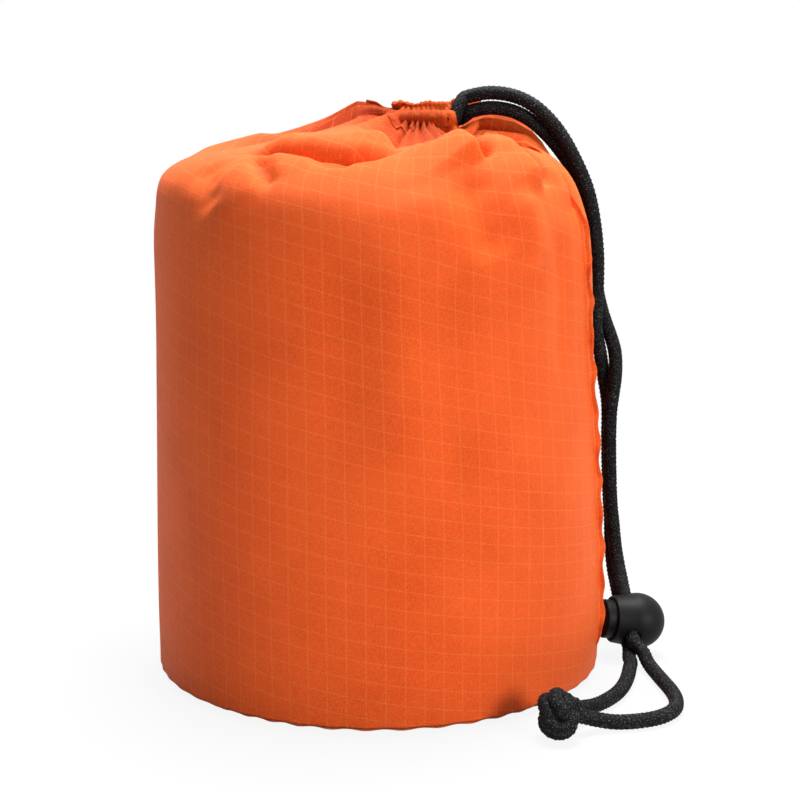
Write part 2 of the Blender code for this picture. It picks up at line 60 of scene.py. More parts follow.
# rises from 0 to 1 over the first range and falls back over the second
def window(value, rising, falling):
    return smooth(value, *rising) * (1 - smooth(value, *falling))


def bell(offset, spread, power=2):
    return np.exp(-((np.abs(offset) / spread) ** power))


def turned(angle):
    return (angle + 180) % 360 - 180


def unit(vectors):
    return vectors / np.linalg.norm(vectors, axis=-1, keepdims=True)


def lengthsAlong(points):
    return np.concatenate([[0], np.cumsum(np.linalg.norm(np.diff(points, axis=0), axis=1))])


# the other columns of a table, where its first column passes the wanted values
def readTable(table, wanted):
    table = np.array(table, float)
    return [np.interp(wanted, table[:, 0], column) for column in table[:, 1:].T]


def evenly(points, step):
    lengths = lengthsAlong(points)
    count = max(2, round(lengths[-1] / step))
    wanted = np.linspace(0, lengths[-1], count + 1)
    return np.stack(readTable(np.column_stack([lengths, points]), wanted), axis=1)


def catmull(points, samples):
    points = np.asarray(points, float)
    line = np.vstack([2 * points[0] - points[1], points, 2 * points[-1] - points[-2]])
    result = []
    for a, b, c, d in zip(line, line[1:], line[2:], line[3:]):
        for i in range(samples):
            t = i / samples
            curve = 2 * b + (c - a) * t + (2 * a - 5 * b + 4 * c - d) * t**2 + (3 * b - a - 3 * c + d) * t**3
            result.append(curve / 2)
    result.append(points[-1])
    return np.array(result)


# two sideways directions that turn as little as they can along a line
def lineSides(points):
    tangents = unit(np.gradient(points, axis=0))
    side = unit(np.cross(tangents[0], (0.3, 0.2, 1.0)))  # any direction that the line doesn't start in
    sides = [side]
    for tangent in tangents[1:]:
        side = unit(side - tangent * side.dot(tangent))
        sides.append(side)
    return np.array(sides), np.cross(tangents, sides)


def gridFaces(rows, columns, wrap):
    last = columns if wrap else columns - 1
    row, column = np.meshgrid(np.arange(rows - 1), np.arange(last), indexing="ij")
    here, above = row * columns, (row + 1) * columns
    after = (column + 1) % columns
    return np.stack([here + column, here + after, above + after, above + column], axis=-1).reshape(-1, 4)


# row and column of each face corner on a closed grid, and whether it closes a turn
def gridCorners(faces, columns):
    row, column = faces // columns, faces % columns
    return row, column, (column == 0) & (column.max(axis=1, keepdims=True) == columns - 1)


def newObject(name, data):
    obj = bpy.data.objects.new(name, data)
    bpy.context.scene.collection.objects.link(obj)
    return obj


def newMesh(name, points, faces, uvs=None):
    mesh = bpy.data.meshes.new(name)
    mesh.from_pydata(points.tolist(), [], faces.tolist())
    if uvs is not None:
        layer = mesh.uv_layers.new(name="UVMap")
        layer.data.foreach_set("uv", np.asarray(uvs, np.float32).ravel())
    mesh.update()
    mesh.shade_smooth()
    return newObject(name, mesh)


# joins points that lie on each other and turns every face outward
def cleanMesh(mesh):
    shape = bmesh.new()
    shape.from_mesh(mesh)
    bmesh.ops.remove_doubles(shape, verts=shape.verts, dist=0.002 * mm)
    bmesh.ops.recalc_face_normals(shape, faces=shape.faces)
    shape.to_mesh(mesh)
    shape.free()


def aim(obj, place, target):
    obj.location = Vector(place) * mm
    obj.rotation_euler = (Vector(target) * mm - obj.location).to_track_quat("-Z", "Y").to_euler()


# Nodes of the materials: an input is a plain value, an output, or a node whose first output is meant


def setInputs(node, inputs):
    for key, value in inputs.items():
        if isinstance(value, bpy.types.Node):
            value = value.outputs[0]
        if isinstance(value, bpy.types.NodeSocket):
            node.id_data.links.new(value, node.inputs[key])
        else:
            node.inputs[key].default_value = value


def addNode(tree, kind, inputs=None, **settings):
    node = tree.nodes.new("ShaderNode" + kind)
    for key, value in settings.items():
        setattr(node, key, value)
    setInputs(node, inputs or {})
    return node


def newMaterial(name, values, **inputs):
    material = bpy.data.materials.new(name)
    material.use_nodes = True
    shader = material.node_tree.nodes["Principled BSDF"]
    setInputs(shader, {"Base Color": linear(values["colour"]), "Roughness": values["roughness"]})
    setInputs(shader, {key.replace("_", " "): value for key, value in inputs.items()})
    return material, material.node_tree, shader


# places on the piece itself, in millimetres
def placesInMm(tree):
    places = addNode(tree, "TexCoord").outputs["Object"]
    return addNode(tree, "Mapping", {"Vector": places, "Scale": (1 / mm, 1 / mm, 1 / mm)})


# Camera

camera = {
    "place": (6.2, -448.1, 154.4),
    "target": (6.2, 0.0, 75.4),
    "lens": 72.0,
    "sensor": 36.0,
    "clipStart": 10.0,
}


def makeCamera():
    data = bpy.data.cameras.new("camera")
    data.lens = camera["lens"]
    data.sensor_width = camera["sensor"]
    data.clip_start = camera["clipStart"] * mm
    obj = newObject("camera", data)
    aim(obj, camera["place"], camera["target"])
    bpy.context.scene.camera = obj


makeCamera()
print("stage: camera")


# Drawcord: two strands of black braided cord, on the same route as in the CAD model

cord = {
    "diameter": 3.8,
    "pairGap": 0.4,  # between the two strands
    "proud": 0.16,  # the yarns' crests stand this far outside the diameter
    "yarnsEachWay": 8,
    "braidPitch": 11.0,  # one yarn's whole turn round the cord
    "braidRelief": 0.5,
    "yarnCurve": 0.6,  # lower gives flatter yarns with steeper sides
    "yarnDip": 0.45,  # share of its height that a yarn loses before it goes under
    "stepAlong": 0.36,
    "sides": 32,
    "pairSamples": 2,
    "routeSamples": 10,
    "endTip": 0.02,
    "colour": "040405",
    # painted highlights: pale specks in the base colour where the braid would catch the light
    "paintedGlint": "8c8f96",
    "paintedGlintSize": 0.3,
    "paintedGlintRange": (0.62, 0.73),  # of the noise: higher gives fewer painted glints
    "paintedGlintShare": 0.5,
    "roughness": 0.75,
    "specular": 0.14,
    "fibreSize": 0.18,
    "fibreRelief": 0.06,
    "fibreStrength": 0.8,
}
# middle of the pair from the channel over the shoulder to the lock: x, y, z, twist of the pair
pairRoute = [
    (25.5, 14.0, 158.2, -90), (31.0, 13.0, 159.3, -90), (37.5, 12.0, 158.6, -80), (43.5, 11.3, 155.8, -65),
    (49.5, 10.7, 150.2, -45), (54.5, 10.2, 143.0, -25), (58.8, 9.7, 134.5, -10), (61.2, 9.2, 125.5, 0),
    (62.3, 8.8, 115.5, 0), (62.7, 8.6, 105.0, 10), (63.9, 8.6, 96.0, 50), (66.0, 8.7, 88.0, 95),
    (66.8, 8.9, 80.0, 140), (67.0, 9.4, 72.0, 175), (67.2, 10.8, 62.5, 180), (67.8, 13.0, 52.5, 180),
    (68.6, 15.4, 43.0, 180), (69.5, 16.8, 35.5, 176), (70.0, 16.3, 28.2, 168),
]
# where the pair runs through the lock: its crossing, direction and twist, and places along that run
lockPlace = {
    "crossing": (72.09, -0.65, 10.59),
    "run": (0.08, -0.766, -0.64),
    "twist": 162,
    "places": [-18.5, -15.0, -10.0, -5.0, 0.0, 4.0, 7.0, 9.0],
}
# each strand's way out of the channel, and its own way along the floor from the lock to the knot
frontExit = [(22.0, 11.8, 155.6), (22.9, 12.6, 157.9), (24.0, 13.5, 159.6)]
rearExit = [(21.7, 17.5, 153.9), (23.3, 16.3, 154.2), (24.9, 15.1, 155.2)]
innerTail = [
    (71.75, -10.0, 2.4), (71.8, -13.2, 2.05), (70.8, -18.0, 2.0), (69.5, -24.0, 2.0), (67.5, -31.0, 2.0),
    (64.8, -37.5, 2.0), (61.2, -43.2, 2.05), (57.2, -48.2, 2.4), (53.6, -52.8, 3.6),
]
outerTail = [
    (75.3, -11.3, 4.7), (76.4, -15.2, 2.6), (77.3, -20.0, 2.0), (78.4, -28.0, 2.0), (79.5, -36.0, 2.0),
    (79.6, -43.0, 2.0), (78.0, -49.8, 2.0), (73.8, -55.0, 2.0), (68.2, -57.8, 2.0), (62.4, -58.9, 2.05),
    (57.6, -59.6, 2.8),
]
# the channel round the gathered mouth, with the hidden part of the cord in it
channel = {
    "centre": (12.5, 14.0),
    "radius": 9.0,
    "height": 154.1,
    "cordAngle": 29.0,  # the hidden cord ends this far each side of the opening
    "exitGap": 0.3,
    "exitLead": 1.2,
    "clear": 2.45,  # the cloth keeps this far from the hidden cord's middle
    "clearFrom": 24.0,  # beyond this angle each side of the opening
}
# End knot: the CAD knot's rounded skin, where the strands go in, and the overhand knot drawn over it
knot = {
    "centre": (46.5, -64.8, 6.575),
    "size": 6.6,
    "flat": 0.9,
    "lobe": 0.09,
    "innerEntry": (0.42, 0.9, -0.2),
    "outerEntry": (0.93, 0.62, -0.3),
    "entryDepth": 2.6,
    "loopScale": 1.5,
    "loopRise": 1.15,
    "strandOffset": 1.5,
    "strandRadius": 1.9,
    "turns": (0.55, 11.9),  # how much of the closed loop each strand runs, in radians
    "samples": 110,
    "tilt": (62.0, 10.0, 35.0),
    "overFloor": 0.15,
}


# a point just inside the CAD knot's skin, which has three lobes that lean as they climb
def knotEntry(direction):
    direction = unit(np.array(direction))
    turn = math.atan2(direction[1], direction[0])
    climb = math.asin(direction[2])
    lobe = knot["lobe"] * math.cos(3 * turn + 2 * climb) * math.cos(climb)
    reach = knot["size"] * (1 + lobe) - knot["entryDepth"]
    return np.array(knot["centre"]) + direction * reach * (1, 1, knot["flat"])


def pairStrand(side):
    crossing, run = np.array(lockPlace["crossing"]), unit(np.array(lockPlace["run"]))
    inLock = [(*(crossing + run * place), lockPlace["twist"]) for place in lockPlace["places"]]
    line = catmull([*pairRoute, *inLock], cord["pairSamples"])
    along = unit(np.gradient(line[:, :3], axis=0))
    front = np.array([0, -1.0, 0])
    front = unit(front - along * (along @ front)[:, None])
    twist = np.radians(line[:, 3:])
    aside = front * np.cos(twist) + np.cross(along, front) * np.sin(twist)
    return line[:, :3] + aside * side * (cord["diameter"] + cord["pairGap"]) / 2


def strandRoute(side, exitRows, tailRows, entry):
    angle = -side * math.radians(channel["cordAngle"])
    outward = np.array([math.cos(angle), math.sin(angle), 0])
    forward = np.array([-math.sin(angle), math.cos(angle), 0]) * side
    end = np.array([*channel["centre"], channel["height"]]) + channel["radius"] * outward
    start = end + forward * channel["exitGap"]
    lead = start + forward * channel["exitLead"]
    route = np.vstack([lead, exitRows, pairStrand(side), tailRows, knotEntry(entry)])
    return np.vstack([start, catmull(route, cord["routeSamples"])])


# height of a diamond braid, from -1 to 1: turn counts turns round the cord, along counts pitches
def braidHeight(turn, along):
    rising = (turn + along) * cord["yarnsEachWay"]
    falling = (turn - along) * cord["yarnsEachWay"]
    risingOver = (np.floor(rising) + np.floor(falling)) % 2 == 0
    domes = [np.sin(np.pi * (place % 1)) for place in (rising, falling)]
    over, under = np.where(risingOver, domes, domes[::-1])
    return over ** cord["yarnCurve"] * (1 - cord["yarnDip"] * (1 - under)) * 2 - 1


def makeStrand(name, route, radius, endCap=False):
    line = evenly(route, cord["stepAlong"])
    lengths = lengthsAlong(line)
    across, up = lineSides(line)
    sides = cord["sides"]
    turn, along = np.meshgrid(np.arange(sides) / sides, lengths / cord["braidPitch"])
    reach = radius + cord["proud"] + cord["braidRelief"] / 2 * (braidHeight(turn, along) - 1)
    if endCap:
        share = np.clip((lengths[-1] - lengths) / radius, cord["endTip"], 1)[:, None]
        reach = reach * np.sqrt(share * (2 - share))
    circle = turn[..., None] * 2 * np.pi
    ring = across[:, None, :] * np.cos(circle) + up[:, None, :] * np.sin(circle)
    points = line[:, None, :] + reach[..., None] * ring
    faces = gridFaces(len(line), sides, True)
    row, column, closing = gridCorners(faces, sides)
    around = np.where(closing, 1, column / sides) * 2 * math.pi * radius
    uvs = np.stack([around, lengths[row]], axis=-1)
    return newMesh(name, points.reshape(-1, 3) * mm, faces, uvs), line


# Polyester cord, braided from filament yarns: matt black, with a soft diamond relief and painted highlights,
# pale flecks where filaments would catch the light. Real filaments are about 0.02 mm, so bundles are drawn to
# show.
def makeCordMaterial():
    material, tree, shader = newMaterial("braidedPolyesterCord", cord, Specular_IOR_Level=cord["specular"])
    places = placesInMm(tree)
    fibres = addNode(tree, "TexNoise", {"Vector": places, "Scale": 1 / cord["fibreSize"], "Detail": 3.0})
    # painted glints: pale specks mixed into the base colour
    paintedGlints = addNode(tree, "TexNoise", {"Vector": places, "Scale": 1 / cord["paintedGlintSize"], "Detail": 1.0})
    low, high = cord["paintedGlintRange"]
    glintInputs = {"Value": paintedGlints, "From Min": low, "From Max": high, "To Max": cord["paintedGlintShare"]}
    share = addNode(tree, "MapRange", glintInputs)
    colours = {0: share, 6: linear(cord["colour"]), 7: linear(cord["paintedGlint"])}
    colour = addNode(tree, "Mix", colours, data_type="RGBA")
    relief = {"Height": fibres, "Strength": cord["fibreStrength"], "Distance": cord["fibreRelief"] * mm}
    setInputs(shader, {"Base Color": colour.outputs[2], "Normal": addNode(tree, "Bump", relief)})
    return material


braidMaterial = makeCordMaterial()
frontRoute = strandRoute(1, frontExit, innerTail, knot["innerEntry"])
rearRoute = strandRoute(-1, rearExit, outerTail, knot["outerEntry"])
frontCord, frontLine = makeStrand("frontCord", frontRoute, cord["diameter"] / 2)
rearCord, rearLine = makeStrand("rearCord", rearRoute, cord["diameter"] / 2)
for piece in (frontCord, rearCord):
    piece.data.materials.append(braidMaterial)
    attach(piece, "sack")
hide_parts("front_strand")
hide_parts("rear_strand")
print("stage: drawcord", len(frontLine), len(rearLine))


# End knot: both strands tied together in one overhand knot, with two short ends


# one strand of the pair that runs side by side round a trefoil, the closed form of an overhand knot
def knotLine(side):
    t = np.linspace(*knot["turns"], knot["samples"]) / 2
    reach = 2 + np.cos(3 * t)
    loop = [reach * np.cos(2 * t), reach * np.sin(2 * t), knot["loopRise"] * np.sin(3 * t)]
    core = np.stack(loop, axis=1) * knot["loopScale"]
    tangents = unit(np.gradient(core, axis=0))
    outward = unit(core - tangents * np.sum(core * tangents, axis=1)[:, None])
    core = core + np.cross(tangents, outward) * knot["strandOffset"] * side
    turn = np.array(Euler(np.radians(knot["tilt"])).to_matrix())
    line = core @ turn.T + np.array(knot["centre"])
    line[:, 2] = np.maximum(line[:, 2], knot["strandRadius"] + cord["proud"] + knot["overFloor"])
    return line


def makeKnot():
    pieces = []
    for name, side in (("knotStrandA", 1), ("knotStrandB", -1)):
        piece, _ = makeStrand(name, knotLine(side), knot["strandRadius"], endCap=True)
        piece.data.materials.append(braidMaterial)
        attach(piece, "sack")
        pieces.append(piece)
    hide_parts("end_knot")
    return pieces


knotPieces = makeKnot()
print("stage: knot")


# Cord lock: a ball with a short neck, and a sprung button that pins both strands

lock = {
    "ball": 8.0,
    "ballSteps": 40,
    "coneStart": 3.0,
    "neckTop": 8.0,
    "neckRadius": 6.75,
    "neckEdge": 0.5,
    "neckEdgeSteps": 5,
    "bore": 5.95,
    "boreBottom": -2.9,
    "pocket": 3.15,
    "pocketBottom": -6.3,
    "buttonRadius": 5.6,
    "buttonTop": 11.2,
    "buttonFoot": -0.65,
    "buttonSide": (-0.96, -0.2, 0.12),  # the way that the button points
    "dome": 0.9,
    "domePower": 0.8,
    "crownSteps": 14,
    "crownStop": 0.02,  # the crown ends this far short of a quarter turn, in radians
    "rim": 0.2,
    "spigot": 1.8,
    "spigotLength": 1.0,
    "slotOffset": 3.2,
    "slotWidth": 8.7,
    "slotHalf": 2.25,
    "pressTravel": 2.2,
    "slotSteps": 9,
    "cutReach": 12.0,
    "edgeRadius": 0.25,
    "edgeAngle": 50.0,
    "sharpAngle": 38.0,
    "sides": 96,
    "colour": "08080a",
    "roughness": 0.46,
    "roughest": 0.6,
    "specular": 0.14,
    "grainSize": 0.3,
    "grainRelief": 0.012,
    "grainStrength": 0.6,
}


def lockMatrix():
    run = Vector(lockPlace["run"]).normalized()
    button = Vector(lock["buttonSide"])
    button = (button - run * button.dot(run)).normalized()
    middle = (Vector(lockPlace["crossing"]) - button * lock["slotOffset"]) * mm
    turn = Matrix((button.cross(run), -run, button)).transposed().to_4x4()
    return Matrix.Translation(middle) @ turn


def arcPoints(radius, start, end, count, middle=(0, 0)):
    angles = np.radians(np.linspace(start, end, count))
    return [(middle[0] + radius * math.cos(a), middle[1] + radius * math.sin(a)) for a in angles]


# a closed solid turned from (radius, height) points about the button's axis
def lathe(name, profile):
    radius, height = np.transpose(profile)[..., None] * mm
    angles = np.linspace(0, 2 * math.pi, lock["sides"], endpoint=False)
    rings = np.broadcast_arrays(radius * np.cos(angles), radius * np.sin(angles), height)
    faces = gridFaces(len(profile), lock["sides"], True)
    obj = newMesh(name, np.stack(rings, axis=-1).reshape(-1, 3), faces)
    cleanMesh(obj.data)
    return obj


# opens the slot that the two strands pass through, then shades all but the sharp edges smooth
def cutSlot(obj, high):
    half = lock["slotHalf"]
    side = lock["slotWidth"] / 2 - half
    bottom, top = lock["slotOffset"], high - half
    outline = []
    for start, x, z in ((-90, side, bottom), (0, side, top), (90, -side, top), (180, -side, bottom)):
        outline += arcPoints(half, start, start + 90, lock["slotSteps"], (x, z))
    count = len(outline)
    ends = (-lock["cutReach"], lock["cutReach"])
    points = [(x * mm, y * mm, z * mm) for y in ends for x, z in outline]
    faces = [[i, (i + 1) % count, count + (i + 1) % count, count + i] for i in range(count)]
    faces += [list(range(count))[::-1], list(range(count, 2 * count))]
    mesh = bpy.data.meshes.new("slotCutter")
    mesh.from_pydata(points, [], faces)
    cleanMesh(mesh)
    cutter = newObject("slotCutter", mesh)
    cut = obj.modifiers.new("slot", "BOOLEAN")
    cut.object = cutter
    cut.operation = "DIFFERENCE"
    rounded = obj.modifiers.new("edges", "BEVEL")
    rounded.width = lock["edgeRadius"] * mm
    rounded.segments = 2
    rounded.angle_limit = math.radians(lock["edgeAngle"])
    bpy.context.view_layer.update()
    shaped = bpy.data.meshes.new_from_object(obj.evaluated_get(bpy.context.evaluated_depsgraph_get()))
    obj.modifiers.clear()
    obj.data = shaped
    bpy.data.objects.remove(cutter)
    shaped.shade_smooth()
    shaped.set_sharp_from_angle(angle=math.radians(lock["sharpAngle"]))
    shaped.transform(lockMatrix())


def makeLockBody():
    edge = lock["neckEdge"]
    edgeMiddle = (lock["neckRadius"] - edge, lock["neckTop"] - edge)
    ballStart = math.degrees(math.asin(lock["coneStart"] / lock["ball"]))
    profile = [
        (0, lock["pocketBottom"]),
        (lock["pocket"], lock["pocketBottom"]),
        (lock["pocket"], lock["boreBottom"]),
        (lock["bore"], lock["boreBottom"]),
        (lock["bore"], lock["neckTop"]),
        (lock["neckRadius"] - edge, lock["neckTop"]),
        *arcPoints(edge, 75, 0, lock["neckEdgeSteps"], edgeMiddle),
        *arcPoints(lock["ball"], ballStart, -89, lock["ballSteps"]),  # down to just before the pole
        (0, -lock["ball"]),
    ]
    body = lathe("lockBall", profile)
    cutSlot(body, lock["slotOffset"] + lock["slotHalf"])
    return body


def makeLockButton():
    top, radius, dome = lock["buttonTop"], lock["buttonRadius"], lock["dome"]
    spigotFoot = lock["buttonFoot"] - lock["spigotLength"]
    crown = np.linspace(0, math.pi / 2 - lock["crownStop"], lock["crownSteps"])
    profile = [
        *[(radius * math.sin(a), top - dome * (1 - math.cos(a) ** lock["domePower"])) for a in crown],
        (radius, top - dome - lock["rim"]),
        (radius, lock["buttonFoot"]),
        (lock["spigot"], lock["buttonFoot"]),
        (lock["spigot"], spigotFoot),
        (0, spigotFoot),
    ]
    button = lathe("lockButton", profile)
    cutSlot(button, lock["slotOffset"] + lock["slotHalf"] + lock["pressTravel"])
    return button


# Acetal, injection moulded with a fine satin grain: black, with soft broad highlights
def makeLockMaterial():
    material, tree, shader = newMaterial("acetalPlastic", lock, Specular_IOR_Level=lock["specular"])
    grainInputs = {"Vector": placesInMm(tree), "Scale": 1 / lock["grainSize"], "Detail": 2.0}
    grain = addNode(tree, "TexNoise", grainInputs)
    roughInputs = {"Value": grain, "To Min": lock["roughness"], "To Max": lock["roughest"]}
    relief = {"Height": grain, "Strength": lock["grainStrength"], "Distance": lock["grainRelief"] * mm}
    rough = addNode(tree, "MapRange", roughInputs)
    setInputs(shader, {"Roughness": rough, "Normal": addNode(tree, "Bump", relief)})
    return material


lockPlastic = makeLockMaterial()
for piece, node, body in (
    (makeLockBody(), "lock_body", "cord_lock"),
    (makeLockButton(), "lock_plunger", "plunger"),
):
    piece.data.materials.clear()
    piece.data.materials.append(lockPlastic)
    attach(piece, body)
    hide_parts(node)


# Sack: one cloth from the base seam up the wall, over the gathered top and round the channel

sack = {
    "radius": 63.1,
    "cornerRadius": 4.5,  # of the wall's foot
    "wallTop": 115.0,
    "tilt": 7.0,  # the shoulder stands this much higher on the left, and lower on the right
    "lean": 2.2,  # and leans this far to the left
    "neckTop": 150.6,
    "neckHeight": 1.2,
    "neckRadius": 9.0,
    "mouthTop": 158.9,
    "seamAngles": (-13.0, -20.0),  # of the side seam, at the wall's foot and top
    "topFrom": 0.9,  # what is done to the top alone starts at this share of the wall's height
    "columns": 600,
    "samples": 12,
    "rowStep": 0.85,
    "topRowStep": 0.45,
    "topRows": 45.0,  # the rows are closer from this far before the hem
    "threadShear": 0.17,  # the squares of the weave run this much askew
}
# the wall's lap under the base: radius from the base seam, height
lapRows = [(-4.0, 1.25), (-0.4, 1.2), (0.0, 0.15)]
# share of the wall's height, of the radius, of the lean, of the tilt
wallShares = [
    (0.33, 1.0, 0.0, 0.12), (0.6, 0.988, 0.1, 0.44), (0.8, 0.967, 0.3, 0.74), (0.9, 0.96, 0.4, 0.88),
]
# share of the radius, of the rise, of the shift to the gather, of the lean, of the tilt
topShares = [
    (0.957, 0.0, 0.0, 0.5, 1.0), (0.948, 0.323, 0.0, 0.54, 0.64), (0.932, 0.503, 0.0, 0.77, 0.49),
    (0.899, 0.64, 0.01, 1.0, 0.36), (0.843, 0.758, 0.03, 0.8, 0.21), (0.753, 0.857, 0.1, 0.35, 0.1),
    (0.626, 0.927, 0.28, 0.0, 0.08), (0.483, 0.963, 0.52, 0.0, 0.04), (0.317, 0.983, 0.8, 0.0, 0.0),
    (0.214, 0.98, 0.976, 0.0, 0.0),
]
# radius beyond the neck and height above the neck's top, up the outside and down the inside
hemShares = [
    (0.5, -0.9), (1.6, 0.6), (2.8, 2.4), (3.3, 4.6), (3.0, 6.8), (2.4, 8.6), (1.9, 10.0), (1.0, 10.7),
    (0.1, 9.8), (-0.9, 8.0), (-2.2, 6.2), (-2.9, 3.9), (-2.2, 1.6), (-0.9, 0.0), (-1.0, -2.4),
]
# the first of the same rows once the cloth is heaped: radius from the gather, share of the climb
# from the heap to the mouth's rim
heapedHem = [
    (15.2, 0.0), (14.1, 0.08), (12.9, 0.2), (11.7, 0.36), (10.4, 0.56), (9.2, 0.76), (8.2, 0.92),
    (7.3, 1.0), (6.7, 0.93),
]
# the cloth heaps up round the gather: angle about it, height of the heap, radius where it starts to
# fall, how far it takes to fall
heap = [
    (-180, 14.4, 19, 15), (-165, 12.6, 19, 16), (-145, 8.6, 20, 17), (-120, 7.6, 14, 23), (-95, 8.0, 12, 25),
    (-75, 7.6, 12, 24), (-60, 6.0, 12, 24), (-46, 3.4, 12, 24), (-34, 2.4, 20, 15), (-20, 3.5, 28, 10),
    (-4, 6.5, 32, 9), (8, 9.0, 33, 9), (20, 11.5, 32, 11), (34, 11.6, 29, 13), (52, 9.4, 25, 14),
    (70, 7.8, 20, 15), (90, 7.4, 18, 16), (120, 8.4, 16, 18), (150, 12.4, 19, 16), (180, 14.4, 19, 15),
]
heaping = {
    "heights": (112.0, 136.0),  # the heap starts between these heights of the wall
    "fallPower": 1.3,
    "foot": 16.6,  # radius of the last row before the hem
    "under": 1.7,  # the cloth below the heap stays this far under the neck's top
    "opening": (12.0, 34.0),  # the mouth opens to the cords between these angles, each side
    "openingFade": (7.0, 17.0),  # the heap sinks into the opening between these radii
    "openingClimb": 0.05,  # share of the climb that is left in the opening
    "crestShare": 0.8,
}
# behind the mouth the heap's crest stays low: angle, height over which crestShare is taken off
heapCrest = [(0, 172.0), (25, 162.0), (45, 159.6), (100, 159.6), (135, 172.0)]
# the cords press the cloth down: x and y of the pair, height of its middle, half its width
cordPress = [
    (12.0, 13.6, 154.0, 6.0), (20.4, 13.6, 154.6, 6.4), (22.0, 14.2, 155.4, 6.0), (25.0, 14.2, 157.0, 5.2),
    (27.0, 13.8, 158.2, 4.4), (31.0, 13.0, 159.3, 3.8), (37.5, 12.0, 158.6, 3.8), (43.5, 11.3, 155.4, 3.8),
    (49.5, 10.7, 149.7, 3.8), (54.5, 10.2, 143.0, 3.8), (58.8, 9.7, 134.5, 3.8),
]
cordRest = {
    "gap": 4.7,  # the cloth lies this far under the pair's middle
    "spread": 0.3,
    "spreadPower": 1.6,
    "start": (20.5, 23.0),  # over these x the pressing sets in
    "free": 12.0,  # and before them the cloth may stand this much higher
    "flatAngle": 9.0,  # under the pair the cloth doesn't stand proud
    "flatSpread": 11.0,
}
# the wall swells out a little to meet the cord
besideCord = {"angle": 2.0, "spread": 24.0, "swell": 1.4, "low": (80.0, 114.0), "high": (136.0, 148.0)}
pleating = {
    "seed": 4,
    "heights": (104.0, 134.0),  # the pleats set in between these heights of the wall
    "start": 8.0,  # and at this radius from the gather
    "startDepth": 0.45,
    "fullDepth": 14.0,  # the radius where they are at their deepest
    "startWidth": 0.55,
    "spread": 0.0715,  # of the width, for each millimetre from the start
    "fade": (0.45, 1.15),  # shares of the length between which a pleat runs out
    "power": 1.5,
    "leastReach": 3.0,
    "jitter": 0.3,
    "rimShare": 0.35,  # of the depth, on the mouth's rim and inside it
    "rimFade": (0.2, 0.9),
    "openingCalm": 0.85,
    "calmAngle": 85.0,  # behind the mouth the pleats are shallower
    "calmSpread": 38.0,
    "calmShare": 0.6,
    "paintedShadeDepth": 3.2,  # a fold this deep gets the full painted crease shade
    "paintedShadeWidth": 3.0,  # and only folds narrower than this get it
}
# pleats in front: angle at the gather, angle further out, length, depth, width
frontPleats = [
    (-122, -106, 38, 4.2, 1.6), (-111, -99, 44, 5.4, 1.2), (-102, -93, 42, 4.4, 1.1),
    (-93, -85, 44, 5.6, 1.2), (-84, -78, 42, 4.4, 1.1), (-75, -69, 44, 5.4, 1.3),
    (-65, -61, 44, 4.2, 1.3), (-55, -54, 44, 4.4, 1.6), (-45, -47, 42, 3.6, 1.6),
]
# scattered pleats, short narrow ones and long wide ones, which leave out some angles
pleatKinds = [
    {
        "count": 26, "swirl": (-8.5944, 18.9076), "length": (14.0, 36.0), "depth": (1.8, 3.6),
        "width": (0.8, 1.5), "skip": ((-129.0, -32.0),),
    },
    {
        "count": 15, "swirl": (-22.0, 22.0), "length": (34.0, 56.0), "depth": (1.4, 2.8),
        "width": (2.2, 4.2), "skip": ((-138.0, -34.0), (-14.0, 26.0)),
    },
]
# slow waves: seed, number of waves, most turns round the sack, most turns for each mm up, height
wobbles = {
    "broad": (21, 7, 5, 0.012, 0.5),
    "fine": (33, 8, 14, 0.02, 0.14),
    "pucker": (8, 6, 7, 0.05, 2.2),
    "rim": (9, 6, 8, 0.05, 0.7),
}
wobbleFrom = (6.0, 30.0)
# small gathers above the base seam, which set in and fade out over these lengths up the wall
pucker = {"count": 46, "height": 0.22, "rise": (4.0, 7.0), "fall": (6.0, 17.0)}
# the mouth's rim rises and dips: how far it is set down, how high it may rise, heights where it counts
rimRipple = {"down": 0.6, "most": 0.3, "heights": (156.0, 161.5)}
foldForm = {
    "reach": 4,  # a fold is worked out this many widths away from its line
    "lipReach": 6,  # and its lips this many times their own distance away
    "fade": (0.25, 0.25),
    "overrun": 0.02,  # share of its length that a fold runs on past its line's ends
    "softPower": 2,
    "sharpPower": 1.3,
}
